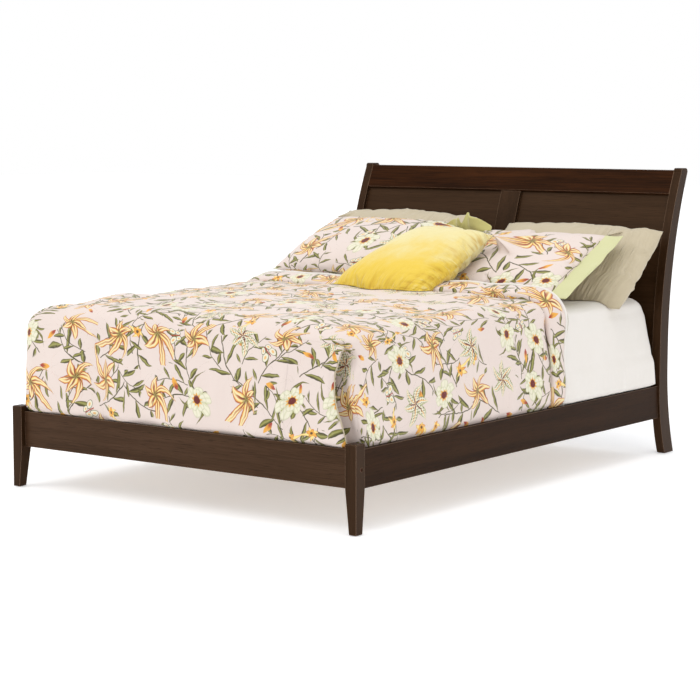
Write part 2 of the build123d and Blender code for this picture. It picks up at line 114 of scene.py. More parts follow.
def welded(grids):
    """The points of several grids, each place once, and every grid's vertex numbers."""
    numbers, points, indices = {}, [], []
    for grid in grids:
        index = np.zeros(grid.shape[:2], int)
        for i, j in np.ndindex(index.shape):
            key = tuple(np.round(grid[i, j], 6))
            if key not in numbers:
                numbers[key] = len(points)
                points.append(grid[i, j])
            index[i, j] = numbers[key]
        indices.append(index)
    return np.array(points), indices


def along_line(line):
    """How far along a line of points each of them is."""
    return np.concatenate([[0], np.cumsum(np.linalg.norm(np.diff(line, axis=0), axis=1))])


def two_layers(front, back, flat):
    """Two grids of points joined all round into one body; flat is a point's place in the cut cloth."""
    count = front[..., 0].size
    index = np.arange(count).reshape(front.shape[:2])
    quads = quads_of(index)
    loop = np.concatenate([index[0, :-1], index[:-1, -1], index[-1, :0:-1], index[:0:-1, 0]])
    after = np.roll(loop, -1)
    sides = np.stack([loop, after, after + count, loop + count], -1)
    faces = np.concatenate([quads[:, ::-1], quads + count, sides])
    points = np.concatenate([front.reshape(-1, 3), back.reshape(-1, 3)])
    return points, faces, np.tile(flat.reshape(-1, 2), (2, 1))[faces]


def ring_faces(count, sides, closed=False):
    """Faces of a tube whose rings of vertices follow each other; an open one gets end caps."""
    rows = count + 1 if closed else count
    index = (np.arange(rows) % count)[:, None] * sides + np.arange(sides + 1) % sides
    faces = [tuple(f) for f in quads_of(index)]
    if not closed:
        faces += [tuple(range(sides))[::-1], tuple(range((count - 1) * sides, count * sides))]
    return faces


def tube(name, path, radius, material, closed=False, sides=10):
    """A round cord of constant radius along a path of points."""
    path = np.asarray(path, float)
    if closed:
        along = np.roll(path, -1, 0) - np.roll(path, 1, 0)
    else:
        along = np.gradient(path, axis=0)
    along /= np.linalg.norm(along, axis=1)[:, None]
    up = np.tile(UP, (len(path), 1))
    up[np.abs(along[:, 2]) > 0.9] = (1.0, 0.0, 0.0)
    side = np.cross(along, up)
    side /= np.linalg.norm(side, axis=1)[:, None]
    over = np.cross(side, along)
    angles = np.arange(sides) * TAU / sides
    ring = side[:, None] * np.cos(angles)[:, None] + over[:, None] * np.sin(angles)[:, None]
    points = (path[:, None] + radius * ring).reshape(-1, 3)
    return add_mesh(name, points, ring_faces(len(path), sides, closed), material)


def step(low, high, value):
    """0 below low, 1 above high and smooth between; low may be the larger."""
    t = np.clip((value - low) / (high - low), 0, 1)
    return t * t * (3 - 2 * t)


def ripple(u, v, size, seed, waves=9):
    """Smooth uneven waves of about the given size, within about -1 to 1."""
    chance = np.random.RandomState(seed)
    total = np.zeros(np.broadcast(u, v).shape)
    for _ in range(waves):
        turn = chance.uniform(0, TAU)
        rate = TAU / (size * chance.uniform(0.7, 1.6))
        total += np.sin(rate * (u * math.cos(turn) + v * math.sin(turn)) + chance.uniform(0, TAU))
    return total / math.sqrt(waves)


# ---- material arithmetic ----
class Num:
    """A number that a material's nodes work out, so that formulas read as plain arithmetic."""

    tree = None

    def __init__(self, socket):
        self.socket = socket

    def __add__(self, other):
        return maths("ADD", self, other)

    def __sub__(self, other):
        return maths("SUBTRACT", self, other)

    def __rsub__(self, other):
        return maths("SUBTRACT", other, self)

    def __mul__(self, other):
        return maths("MULTIPLY", self, other)

    def __truediv__(self, other):
        return maths("DIVIDE", self, other)

    __radd__ = __add__
    __rmul__ = __mul__


def add_node(kind, **settings):
    node = Num.tree.nodes.new("ShaderNode" + kind)
    for name, value in settings.items():
        setattr(node, name, value)
    return node


def feed(node, name, value):
    """Links or sets one input of a node."""
    socket = node.inputs[name]
    if isinstance(value, Num):
        Num.tree.links.new(value.socket, socket)
    elif isinstance(value, (tuple, list)) and len(value) == 3 and socket.type == "RGBA":
        socket.default_value = (*value, 1.0)
    else:
        socket.default_value = value


def maths(operation, *values, kind="Math", output=0):
    """Feeds the values to an arithmetic node and gives its result."""
    node = add_node(kind, operation=operation)
    for place, value in enumerate(values):
        feed(node, place, value)
    return Num(node.outputs[output])


vectors = partial(maths, kind="VectorMath")
sqrt = partial(maths, "SQRT")
sin = partial(maths, "SINE")
cos = partial(maths, "COSINE")
floor = partial(maths, "FLOOR")
absolute = partial(maths, "ABSOLUTE")
# 1 where the first value is less than the second, otherwise 0
less = partial(maths, "LESS_THAN")
# a place with each axis multiplied by its own scale
stretched = partial(vectors, "MULTIPLY")


def clip01(value):
    node = add_node("Clamp")
    feed(node, "Value", value)
    return Num(node.outputs[0])


def smooth(low, high, value):
    """0 at low, 1 at high, smooth between; low may be the larger."""
    swap = low > high
    node = add_node("MapRange", interpolation_type="SMOOTHSTEP")
    feed(node, "Value", value)
    feed(node, "From Min", min(low, high))
    feed(node, "From Max", max(low, high))
    feed(node, "To Min", 1.0 if swap else 0.0)
    feed(node, "To Max", 0.0 if swap else 1.0)
    return Num(node.outputs[0])


def blend(first, second, share):
    """A colour between two colours."""
    node = add_node("Mix", data_type="RGBA")
    feed(node, 0, share)
    feed(node, 6, first)
    feed(node, 7, second)
    return Num(node.outputs[2])


def noise_at(place, scale, detail=2.0, rough=0.5, output=0):
    node = add_node("TexNoise")
    feed(node, "Vector", place)
    feed(node, "Scale", scale)
    feed(node, "Detail", detail)
    feed(node, "Roughness", rough)
    return Num(node.outputs[output])


def object_place():
    return Num(add_node("TexCoord").outputs["Object"])


def cloth_place():
    return Num(add_node("UVMap", uv_map="cloth").outputs[0])


def split(place):
    node = add_node("SeparateXYZ")
    feed(node, 0, place)
    return Num(node.outputs[0]), Num(node.outputs[1])


def start_material(name):
    """A new material whose nodes the functions above then add to; returns it and its shader."""
    material = bpy.data.materials.new(name)
    material.use_nodes = True
    Num.tree = material.node_tree
    return material, material.node_tree.nodes["Principled BSDF"]


def bump(shader, height, distance, strength=1.0):
    node = add_node("Bump")
    feed(node, "Height", height)
    feed(node, "Distance", distance)
    feed(node, "Strength", strength)
    Num.tree.links.new(node.outputs[0], shader.inputs["Normal"])


# ---- wood, metal and plastic ----
# the painted highlight along the wood's edges: its tone, and how far in from an edge it reaches
EDGE_HIGHLIGHT_TONE = (0.23, 0.145, 0.095)
EDGE_HIGHLIGHT_REACH = 0.0035


def painted_edge_highlight():
    """Close to 1 along a piece's edges, where a painted highlight stands in for the light that the rounded
    edges catch, and 0 away from them.
    """
    eased = add_node("Bevel", samples=6)
    feed(eased, "Radius", EDGE_HIGHLIGHT_REACH)
    facing = Num(add_node("NewGeometry").outputs["Normal"])
    alike = vectors("DOT_PRODUCT", Num(eased.outputs["Normal"]), facing, output="Value")
    return smooth(0.985, 0.80, alike)


def grain_noise(grain, across, along, detail, rough=0.5):
    """Noise drawn out along one axis: its rates across the grain and along it, per metre."""
    scale = [across] * 3
    scale[grain] = along
    return noise_at(stretched(object_place(), scale), 1.0, detail, rough)


def wood_material(name, grain, dark, light, rough, streak=1.0, shine=0.10, edge=EDGE_HIGHLIGHT_TONE):
    """Straight-grained wood; grain is the axis, 0 to 2, that the fibres run along.

    streak is how much dark and light differ, shine the share of light that it mirrors, and edge the tone
    of the painted highlight along its edges, or None.
    """
    material, shader = start_material(name)
    figure = grain_noise(grain, 18.0, 0.9, 4.0, 0.6)
    fibre = grain_noise(grain, 260.0, 6.0, 2.0, 0.6)
    pore = smooth(0.60, 0.72, grain_noise(grain, 520.0, 14.0, 1.0))
    tone = clip01((figure - 0.5) * (1.6 * streak) + (fibre - 0.5) * (0.8 * streak) + 0.45)
    colour = blend(dark, light, tone)
    colour = blend(colour, tuple(0.45 * c for c in dark), pore * 0.6)
    # painted highlight along the edges, where the rounded edges would catch light
    if edge:
        colour = blend(colour, edge, painted_edge_highlight() * 0.85)
    feed(shader, "Base Color", colour)
    feed(shader, "Roughness", fibre * 0.12 + (rough - 0.06))
    feed(shader, "Specular IOR Level", shine)
    feed(shader, "Specular Tint", (1.0, 0.68, 0.44))
    feed(shader, "Coat Weight", 0.02)
    feed(shader, "Coat Roughness", 0.3)
    bump(shader, fibre * 0.4 - pore * 0.6, 0.00012)
    return material


def metal_material(name, colour, rough):
    material, shader = start_material(name)
    place = object_place()
    wear = noise_at(place, 90.0, 3.0, 0.6)
    feed(shader, "Base Color", blend(colour, tuple(0.75 * c for c in colour), wear))
    feed(shader, "Roughness", wear * 0.15 + rough)
    feed(shader, "Metallic", 1.0)
    bump(shader, noise_at(place, 700.0), 0.00006)
    return material


def plastic_material(name, colour):
    material, shader = start_material(name)
    place = object_place()
    cloud = noise_at(place, 40.0)
    feed(shader, "Base Color", blend(colour, tuple(1.3 * c for c in colour), cloud))
    feed(shader, "Roughness", cloud * 0.1 + 0.45)
    bump(shader, noise_at(place, 900.0), 0.00008)
    return material


# ---- cloth ----
THREADS = 900.0


def weave(place):
    """Over and under of a plain weave with THREADS to the metre, from 0 to 1."""
    u, v = split(stretched(place, (THREADS * math.pi, THREADS * math.pi, 1.0)))
    return (sin(u) * sin(v)) * 0.5 + 0.5


def cloth_material(name, colour, shade, sheen=0.25, rough=0.8, creases=0.0016, pitch=16.0, gathers=0.0):
    """Plain cotton with a weave, faint mottling, soft creases and, beside a hem, gathers with painted
    shade in their hollows and painted light on their ridges.
    """
    material, shader = start_material(name)
    place = cloth_place()
    mottle = noise_at(place, 7.0, 4.0, 0.6)
    pulled = 0.0
    if gathers:
        u, v = split(place)
        beside = smooth(0.02, 0.16, u) * smooth(0.37, 0.26, u) * smooth(0.24, 0.12, v)
        lines = noise_at(stretched(place, (58.0, 6.0, 1.0)), 1.0, 2.0, 0.6)
        pulled = (lines - 0.5) * beside * gathers
        # painted shade in the gathers' hollows and painted light on their ridges
        mottle = clip01(mottle - pulled * 1.4)
    feed(shader, "Base Color", blend(colour, shade, mottle))
    feed(shader, "Roughness", mottle * 0.1 + (rough - 0.05))
    feed(shader, "Sheen Weight", sheen)
    feed(shader, "Sheen Roughness", 0.4)
    crease = noise_at(place, pitch, 3.0, 0.55)
    bump(shader, crease + weave(place) * (0.00012 / creases) + pulled, creases)
    return material


def velvet_material():
    """Short pile, painted paler over the cushion's upper half as painted sheen, with gathers running in
    from its seams, painted shade in their hollows and painted highlight on their ridges.
    """
    material, shader = start_material("yellow_velvet")
    place = cloth_place()
    u, v = split(place)
    nap = noise_at(place, 9.0, 3.0, 0.6)
    toward_low = smooth(-0.07, -0.25, v)
    toward_right = smooth(0.06, 0.25, u)
    rest = smooth(0.19, 0.25, v) + smooth(-0.19, -0.25, u)
    upright = noise_at(stretched(place, (46.0, 7.0, 1.0)), 1.0, 2.0, 0.6)
    level = noise_at(stretched(place, (7.0, 46.0, 1.0)), 1.0, 2.0, 0.6)
    gathers = (upright - 0.5) * toward_low + (level - 0.5) * toward_right
    gathers = gathers + (nap - 0.5) * rest * 0.4
    # painted sheen: the upper half is paler, as where the pile catches the light
    painted_sheen = smooth(-0.13, 0.11, v + (nap - 0.5) * 0.35 - u * 0.25)
    colour = blend((0.73, 0.52, 0.055), (0.72, 0.635, 0.31), painted_sheen)
    # painted shade in the gathers' hollows and painted highlight on their ridges
    colour = blend(colour, (0.52, 0.29, 0.015), smooth(0.02, -0.20, gathers) * 0.6)
    colour = blend(colour, (0.84, 0.74, 0.33), smooth(0.06, 0.26, gathers) * 0.6)
    feed(shader, "Base Color", colour)
    feed(shader, "Roughness", nap * 0.15 + 0.7)
    feed(shader, "Sheen Weight", 0.8)
    feed(shader, "Sheen Roughness", 0.35)
    feed(shader, "Sheen Tint", (1.0, 0.95, 0.70))
    bump(shader, gathers * 1.2 + nap * 0.35 + noise_at(place, 1400.0, 1.0) * 0.02, 0.014)
    return material


# ---- the printed cloth: garden flowers of no particular kind ----
GROUND = (0.71, 0.605, 0.555)
RUST = (0.34, 0.042, 0.018)
GOLD = (0.74, 0.36, 0.050)
LEMON = (0.84, 0.66, 0.24)
CREAM = (0.73, 0.70, 0.55)
SAGE = (0.42, 0.44, 0.19)
WINE = (0.13, 0.010, 0.008)
OLIVE = (0.055, 0.047, 0.010)
MOSS = (0.200, 0.190, 0.038)
FERN = (0.36, 0.35, 0.11)
BROWN = (0.12, 0.06, 0.02)


def cells(place, pitch, jitter, shift):
    """The nearest of many scattered points: x and y from it, turned at random, and two random numbers."""
    moved = vectors("ADD", place, (*shift, 0.0))
    scatter = add_node("TexVoronoi", voronoi_dimensions="2D", feature="F1")
    feed(scatter, "Vector", moved)
    feed(scatter, "Scale", 1.0 / pitch)
    feed(scatter, "Randomness", jitter)
    chance = add_node("SeparateColor")
    feed(chance, 0, Num(scatter.outputs["Color"]))
    turned = add_node("VectorRotate", rotation_type="Z_AXIS")
    feed(turned, "Vector", vectors("SUBTRACT", moved, Num(scatter.outputs["Position"])))
    feed(turned, "Angle", Num(chance.outputs[0]) * TAU)
    x, y = split(Num(turned.outputs[0]))
    return x, y, Num(chance.outputs[1]), Num(chance.outputs[2])


def petals(x, y, count, turned, reach, width, vary=0.0, curl=0.0, blunt=1.0):
    """A ring of petals: how far a point is covered, its place along a petal and across it.

    blunt is 1 for pointed petals and less for rounder ones.
    """
    r = sqrt(x * x + y * y)
    turns = maths("ARCTAN2", y, x) * (count / TAU) + r * curl + turned
    index = floor(turns + 0.5)
    off = (turns - index) * (TAU / count)
    if vary:
        reach = sin(index * 2.4 + turned * 9.0) * vary + reach
    along = clip01(r * cos(off) / reach)
    body = along * (1.0 - along)
    body = body if blunt == 1.0 else maths("POWER", body, blunt) * 4.0 ** (blunt - 1.0)
    half = body * (1.35 - along * 0.7) * (4.0 * width) + 0.001
    across = absolute(r * sin(off)) / half
    return smooth(1.08, 0.92, across), along, across


def leaning(x, y, amount, squeeze):
    """The same place as seen on a flower that leans away from the eye."""
    return x + (x * x + y * y) * amount, y * squeeze


def rosette(x, y, count, turned, reach):
    """A ring of broad, overlapping petals: cover, how far out a point is, how near a petal's side."""
    turns = maths("ARCTAN2", y, x) * (count / TAU) + turned
    index = floor(turns + 0.5)
    off = absolute(turns - index) * 2.0
    edge = (1.0 - off * off * off * 0.32) * reach + sin(index * 2.4 + turned * 9.0) * 0.07
    out = sqrt(x * x + y * y) / edge
    return smooth(1.03, 0.95, out), clip01(out), off


def layered(hue, *coats):
    """A colour with coats over it, one after the other; each is a colour and its cover."""
    for colour, cover in coats:
        hue = blend(hue, colour, cover)
    return hue


# Each plant is drawn about its middle with its tips about 1 away, and seed makes it differ from its
# like.  It yields its parts from the back to the front: a part's colour and its cover.
def lily(x, y, seed):
    """Two rings of three long, bent petals, pale inside and rust at the rim, with stamens."""
    x, y = leaning(x, y, 0.30, 1.25)
    for offset, reach, width in ((0.0, 1.15, 0.165), (0.5, 0.92, 0.21)):
        cover, along, across = petals(x, y, 3.0, seed + offset, reach, width,
                                      vary=0.3, curl=0.35, blunt=0.75)
        yield layered(
            LEMON,
            (GOLD, smooth(0.45, 0.85, across)),
            (CREAM, smooth(0.35, 0.10, absolute(across - 0.38)) * smooth(0.2, 0.5, along) * 0.5),
            (GOLD, smooth(0.2, 0.9, sin(across * 9.0 + along * 4.0)) * 0.35),
            (RUST, smooth(0.70, 0.98, across * 0.6 + along * 0.55) * 0.95),
            (RUST, smooth(0.66, 0.90, across) * 0.8),
            (RUST, smooth(0.34, 0.08, across) * smooth(0.85, 0.3, along) * 0.9),
            (MOSS, smooth(0.22, 0.08, along) * 0.8)), cover
    cover, along, across = petals(x, y, 5.0, seed * 3.0, 0.62, 0.026, vary=0.1, curl=0.4)
    yield blend(BROWN, RUST, along), cover


def peony(x, y, seed):
    """Two rings of broad pale petals round a dark heart, with a few leaves behind."""
    cover, along, across = petals(x, y, 4.0, seed * 2.0, 1.7, 0.13, vary=0.25, curl=0.5)
    yield blend(MOSS, OLIVE, smooth(0.3, 0.9, across)), cover * smooth(0.0, 0.3, x * 0.5 + y + 0.9)
    x, y = leaning(x, y, 0.18, 1.20)
    for count, reach in ((6.0, 1.05), (5.0, 0.70)):
        cover, along, off = rosette(x, y, count, seed * count, reach)
        yield layered(
            CREAM,
            (SAGE, smooth(0.62, 0.25, along) * 0.6),
            (SAGE, smooth(0.2, 1.0, sin(off * 9.0 + along * 2.0)) * 0.30),
            (SAGE, smooth(0.72, 1.0, off) * 0.75),
            (MOSS, smooth(0.90, 1.0, along) * 0.4)), cover
    r = sqrt(x * x + y * y)
    rays = sin(maths("ARCTAN2", y, x) * 9.0) * 0.07 + 0.36
    yield GOLD, smooth(1.15, 0.85, r / rays)
    yield WINE, smooth(0.31, 0.24, r)


def spotted(x, y, seed):
    """A pale lily with dotted petals and wine-red stamens."""
    x, y = leaning(x, y, 0.08, 1.1)
    cover, along, across = petals(x, y, 6.0, seed, 1.05, 0.21, vary=0.15, curl=0.5, blunt=0.8)
    dots = smooth(0.1, 0.5, sin(x * 34.0) * sin(y * 34.0)) * smooth(0.95, 0.6, along)
    yield layered(
        CREAM,
        (SAGE, smooth(0.6, 0.9, across)),
        (MOSS, smooth(0.86, 1.0, across) * 0.6),
        (OLIVE, dots * 0.75),
        (GOLD, smooth(0.20, 0.06, across) * 0.8)), cover
    cover, along, across = petals(x, y, 5.0, seed * 3.0, 0.5, 0.035, vary=0.1, curl=0.4)
    yield WINE, cover


def blossom(x, y, seed):
    """Small uneven petals in two tones round a brown eye."""
    x, y = leaning(x, y, 0.30, 1.25)
    for offset, reach, width, tone in ((0.0, 1.1, 0.24, LEMON), (0.5, 0.8, 0.26, GOLD)):
        cover, along, across = petals(x, y, 4.0, seed + offset, reach, width,
                                      vary=0.25, curl=0.3, blunt=0.6)
        yield blend(tone, RUST, smooth(0.45, 1.05, across * 0.6 + absolute(along - 0.4) * 0.9)), cover
    yield BROWN, smooth(0.24, 0.16, sqrt(x * x + y * y))


def sprig(x, y, seed):
    """A bent stem along x with long leaves on both sides."""
    y = y - sin(x * 1.9 + seed * 6.0) * 0.22
    lean = absolute(y)
    row = x * 1.35 - lean * 1.25 + less(y, 0.0) * 0.5 + lean * lean * 0.5
    index = floor(row)
    long = sin(index * 2.1 + seed * 5.0) * 0.16 + 0.62
    along = clip01(lean / long)
    half = along * (1.0 - along) * 0.58 + 0.001
    across = (row - index - 0.5) / half
    yield OLIVE, smooth(0.026, 0.012, lean) * smooth(1.0, 0.96, absolute(x))
    yield layered(
        OLIVE,
        (MOSS, smooth(-0.7, 0.1, across)),
        (FERN, smooth(0.30, 0.12, absolute(across - 0.18)) * 0.6),
        (OLIVE, smooth(0.60, 0.95, absolute(across)) * 0.85),
    ), smooth(1.1, 0.9, absolute(across)) * smooth(1.0, 0.9, absolute(x))


def bud(x, y, seed):
    along = clip01(x * 0.5 + 0.5)
    across = absolute(y) * 1.125 / (along * (1.0 - along) * 1.5 + 0.001)
    yield blend(RUST, GOLD, smooth(0.3, 0.75, along + across * 0.2)), smooth(1.1, 0.9, across)


def butterfly(x, y, seed):
    """Two pale oval wings on each side of a thin body."""
    lean = absolute(y)
    for cx, cy, long, wide in ((0.32, 0.5, 0.52, 0.34), (-0.35, 0.36, 0.38, 0.26)):
        dx = (x - cx) * (0.8 / long) + (lean - cy) * (0.6 / long)
        dy = (lean - cy) * (0.8 / wide) - (x - cx) * (0.6 / wide)
        r = sqrt(dx * dx + dy * dy)
        hue = layered(CREAM, (OLIVE, smooth(0.78, 0.95, r)), (GOLD, smooth(0.5, 0.2, r) * 0.8))
        yield hue, smooth(1.05, 0.95, r)
    yield RUST, smooth(0.07, 0.045, lean) * smooth(0.62, 0.55, absolute(x))


# scatters of points, from the back to the front: spacing, jitter and shift, and the plants that
# grow on them, each with its size in metres and the range of the points' chance that it takes
SCATTERS = (
    (0.190, 0.45, (0.0, 0.0), ((sprig, 0.105, 0.0, 0.78),)),
    (0.170, 0.5, (0.06, 0.1), ((sprig, 0.080, 0.0, 0.78),)),
    (0.150, 0.5, (0.05, 0.08),
     ((blossom, 0.030, 0.0, 0.25), (bud, 0.027, 0.25, 0.6), (butterfly, 0.036, 0.6, 0.75))),
    (0.205, 0.45, (0.16, 0.04),
     ((lily, 0.088, 0.0, 0.5), (peony, 0.057, 0.5, 0.8), (spotted, 0.075, 0.8, 1.0))),
)


def wobbled(place, size, amount):
    """Place pushed about a little, so that drawn edges look done by hand."""
    push = noise_at(place, 1.0 / size, 1.0, output="Color")
    return vectors("MULTIPLY_ADD", push, (amount, amount, 0.0), place)


def floral_material():
    """The print, from the leaves at the back to the large flowers in front."""
    material, shader = start_material("floral_cotton")
    place = cloth_place()
    drawn = wobbled(place, size=0.033, amount=0.012)
    mottle = noise_at(place, 5.0, 3.0)
    paint = blend(GROUND, tuple(0.95 * c for c in GROUND), mottle)
    for pitch, jitter, shift, plants in SCATTERS:
        x, y, seed, kind = cells(drawn, pitch, jitter, shift)
        for plant, size, low, high in plants:
            here = less(low, kind) * less(kind, high)
            for hue, cover in plant(x / size, y / size, seed):
                paint = blend(paint, hue, cover * here)
    fade = noise_at(place, 55.0, 3.0, 0.6)
    paint = blend(paint, GROUND, smooth(0.54, 0.80, fade) * 0.30)
    feed(shader, "Base Color", paint)
    feed(shader, "Roughness", mottle * 0.1 + 0.6)
    feed(shader, "Sheen Weight", 0.2)
    feed(shader, "Sheen Roughness", 0.4)
    crease = noise_at(place, 14.0, 3.0, 0.55)
    bump(shader, crease + weave(place) * 0.06, 0.0016)
    return material


# ---- soft boxes: bedding that lies over a block ----
TOP, RIGHT, LEFT, FRONT, HEAD = range(5)
OUTWARD = {TOP: (0, 0), RIGHT: (1, 0), LEFT: (-1, 0), FRONT: (0, -1), HEAD: (0, 1)}


def soft_box(half, y0, y1, z0, z1, radius, pitch, ends):
    """An open box, without its bottom, whose upright corners and top edges are rounded.

    ends says which end walls it has, of FRONT and HEAD.  Returns its points, faces, the side of the
    box that each quad lies on, each point's place on the square box, and the quads' corners in the
    cut cloth's own plane.
    """
    xs, ys, zs = (np.linspace(a, b, max(2, round(abs(b - a) / pitch) + 1))
                  for a, b in ((-half, half), (y0, y1), (z1, z0)))
    panels = [(TOP, *np.meshgrid(xs, ys, indexing="ij"), z1)]
    grid_y, grid_z = np.meshgrid(ys, zs, indexing="ij")
    panels += [(RIGHT, half, grid_y, grid_z), (LEFT, -half, grid_y, grid_z)]
    grid_x, grid_z = np.meshgrid(xs, zs, indexing="ij")
    panels += [(end, grid_x, y0 if end == FRONT else y1, grid_z) for end in ends]
    grids = [np.stack(np.broadcast_arrays(*panel[1:]), -1) for panel in panels]
    square, indices = welded(grids)
    faces, sides, cloth = [], [], []
    for (side, *_), grid, index in zip(panels, grids, indices):
        quads = quads_of(index)
        # each wall's cloth hangs on from the top's edge
        corners = quads_of(grid[..., :2] + (z1 - grid[..., 2:]) * OUTWARD[side])
        if side in (TOP, LEFT, HEAD):
            quads, corners = quads[:, ::-1], corners[:, ::-1]
        faces.append(quads)
        cloth.append(corners)
        sides += [side] * len(quads)
    points = rounded(square, half, y0, y1, z1, radius, ends)
    return points, np.concatenate(faces), np.array(sides), square, np.concatenate(cloth)


def rounded(square, half, y0, y1, z1, radius, ends):
    """Points of a square box moved onto one with round top edges and tighter upright corners."""
    low_y = y0 + radius if FRONT in ends else -math.inf
    high_y = y1 - radius if HEAD in ends else math.inf
    core = np.stack([
        np.clip(square[:, 0], -(half - radius), half - radius),
        np.clip(square[:, 1], low_y, high_y),
        np.minimum(square[:, 2], z1 - radius),
    ], -1)
    out = square - core
    length = np.maximum(np.linalg.norm(out, axis=1)[:, None], 1e-9)
    unit = out / length
    flat = np.maximum(np.hypot(unit[:, 0], unit[:, 1]), 1e-9)
    squarer = np.maximum((np.abs(unit[:, :2] / flat[:, None]) ** 5).sum(1), 0.1) ** -0.2
    unit[:, :2] *= (1 + (squarer - 1) * flat ** 2)[:, None]
    return np.where(length > 1e-6, core + unit * radius, square)


def shell(outer, inner, faces, uv):
    """Two like layers joined along their open edge into one closed body."""
    count = len(outer)
    edges = {(a, b): None for quad in faces for a, b in zip(quad, np.roll(quad, -1))}
    a, b = np.array([(a, b) for a, b in edges if (b, a) not in edges]).T
    closing = np.stack([b, a, a + count, b + count], -1)
    place = np.zeros((count, 2))
    place[faces.ravel()] = uv.reshape(-1, 2)
    closing_uv = np.stack([place[b], place[a], place[a], place[b]], 1)
    all_faces = np.concatenate([faces, faces[:, ::-1] + count, closing])
    return np.concatenate([outer, inner]), all_faces, np.concatenate([uv, uv[:, ::-1], closing_uv])


def block(name, low, high, radius, pitch, material, puff, seed):
    """A closed, round-edged block whose faces swell a little."""
    middle, size = (low + high) / 2, high - low
    counts = [max(6, round(s / pitch)) for s in size]
    grids = []
    for axis in range(3):
        a, b = [k for k in range(3) if k != axis]
        for end in (-0.5, 0.5):
            grid = np.full((counts[a] + 1, counts[b] + 1, 3), end * size[axis])
            grid[..., a] = np.linspace(-size[a] / 2, size[a] / 2, counts[a] + 1)[:, None]
            grid[..., b] = np.linspace(-size[b] / 2, size[b] / 2, counts[b] + 1)[None, :]
            grids.append(grid)
    square, indices = welded(grids)
    faces = []
    for index, turned in zip(indices, (True, False, False, True, True, False)):
        quads = quads_of(index)
        faces.append(quads[:, ::-1] if turned else quads)
    faces = np.concatenate(faces)
    half = np.array(size) / 2
    core = np.clip(square, -(half - radius), half - radius)
    out = square - core
    length = np.maximum(np.linalg.norm(out, axis=1)[:, None], 1e-9)
    points = np.where(length > 1e-6, core + out / length * radius, square)
    share = np.prod(1 - (square[:, :2] / half[:2]) ** 4, axis=1)
    wave = ripple(square[:, 0], square[:, 1], 0.3, seed)
    points[:, 2] += np.sign(square[:, 2]) * share * (puff + 0.15 * puff * wave)
    flat = square[faces]
    uv = flat[..., :2] + flat[..., 2:]
    return add_mesh(name, points + np.array(middle), faces, material, uv)


def rim_path(half_x, y0, y1, z, radius, pitch=0.02):
    """A level rounded rectangle as a closed path."""
    centre, half_y = (y0 + y1) / 2, (y1 - y0) / 2
    path = []
    for turn, (sx, sy) in enumerate(((1, 1), (-1, 1), (-1, -1), (1, -1))):
        for angle in np.linspace(turn * 90, turn * 90 + 90, 9):
            a = math.radians(angle)
            x = sx * (half_x - radius) + radius * math.cos(a)
            y = centre + sy * (half_y - radius) + radius * math.sin(a)
            path.append((x, y, z))
    dense = []
    for a, b in zip(path, path[1:] + path[:1]):
        a, b = np.array(a), np.array(b)
        steps = max(1, round(np.linalg.norm(b - a) / pitch))
        dense += [a + (b - a) * k / steps for k in range(steps)]
    return dense


# ---- the frame's own finish ----
# the darkest and lightest streaks of the stain on different parts; the lighter copy on the foot rail is
# painted light on its face toward the foot, and the deeper copy on the side rails is painted shade on
# their sides
ESPRESSO = ((0.019, 0.0078, 0.0026), (0.050, 0.0245, 0.0115))
DARKER = ((0.016, 0.0066, 0.0022), (0.042, 0.0200, 0.0092))
LIT_FOOT_STAIN = ((0.026, 0.0120, 0.0050), (0.066, 0.034, 0.0190))
SHADED_SIDE_STAIN = ((0.011, 0.0036, 0.0008), (0.034, 0.0135, 0.0045))
REDDER = ((0.012, 0.0030, 0.0005), (0.050, 0.0150, 0.0035))
cross_wood = wood_material("dark_wood_across", 0, *ESPRESSO, rough=0.40)
# a lighter copy of the stain: painted light on the foot rail's face toward the foot
lit_foot_wood = wood_material("dark_wood_foot_lit", 0, *LIT_FOOT_STAIN, rough=0.38)
# a deeper copy of the stain: painted shade on the side rails' sides
shaded_long_wood = wood_material("dark_wood_along_shaded", 1, *SHADED_SIDE_STAIN, rough=0.42, streak=1.2, shine=0.05)
post_wood = wood_material("dark_wood_upright", 2, *DARKER, rough=0.40)
crest_wood = wood_material("dark_wood_crest", 0, *REDDER, rough=0.36, streak=1.6, shine=0.05)
pine = wood_material("slat_pine", 0, (0.50, 0.33, 0.17), (0.68, 0.50, 0.30),
                     rough=0.62, streak=0.7, edge=None)
pine_long = wood_material("beam_pine", 1, (0.48, 0.31, 0.16), (0.66, 0.48, 0.29),
                          rough=0.62, streak=0.7, edge=None)
beech = wood_material("dowel_beech", 1, (0.52, 0.33, 0.18), (0.62, 0.44, 0.27),
                      rough=0.55, streak=0.4, edge=None)
zinc = metal_material("zinc_steel", (0.62, 0.63, 0.64), rough=0.30)
bronzed = metal_material("zinc_steel_bronzed", (0.13, 0.055, 0.035), rough=0.32)
black_plastic = plastic_material("leveler_plastic", (0.020, 0.020, 0.021))
nylon = plastic_material("glide_nylon", (0.60, 0.57, 0.50))

BY_NODE = {"crest_rail": crest_wood, "foot_rail": lit_foot_wood, "foot_rail_bolts": bronzed,
           "headboard_lower_rail": cross_wood, "headboard_panel_left": cross_wood,
           "headboard_panel_right": cross_wood, "side_rail_left": shaded_long_wood,
           "side_rail_right": shaded_long_wood}
BY_SLOT = {"dark_wood": post_wood, "dowel_wood": beech, "zinc_steel": zinc,
           "leveler_plastic": black_plastic}


def dress(node):
    """Gives a CAD node its finish, from its name, its slot or, for a slat, the way it lies."""
    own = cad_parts[node]
    its_slot = own.data.materials[0].name.split(".")[0]
    finish = BY_NODE.get(node, BY_SLOT.get(its_slot, nylon))
    if its_slot == "slat_wood":
        low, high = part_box(node)
        finish = pine if high.x - low.x > high.y - low.y else pine_long
    own.data.materials[0] = finish


SOFT_NODES = ("mattress", "box_spring", "bottom_sheet", "duvet", "pillow_left", "pillow_right",
              "floral_pillow_left", "floral_pillow_right", "throw_pillow")
for node_name in sorted(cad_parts):
    if node_name not in SOFT_NODES:
        dress(node_name)

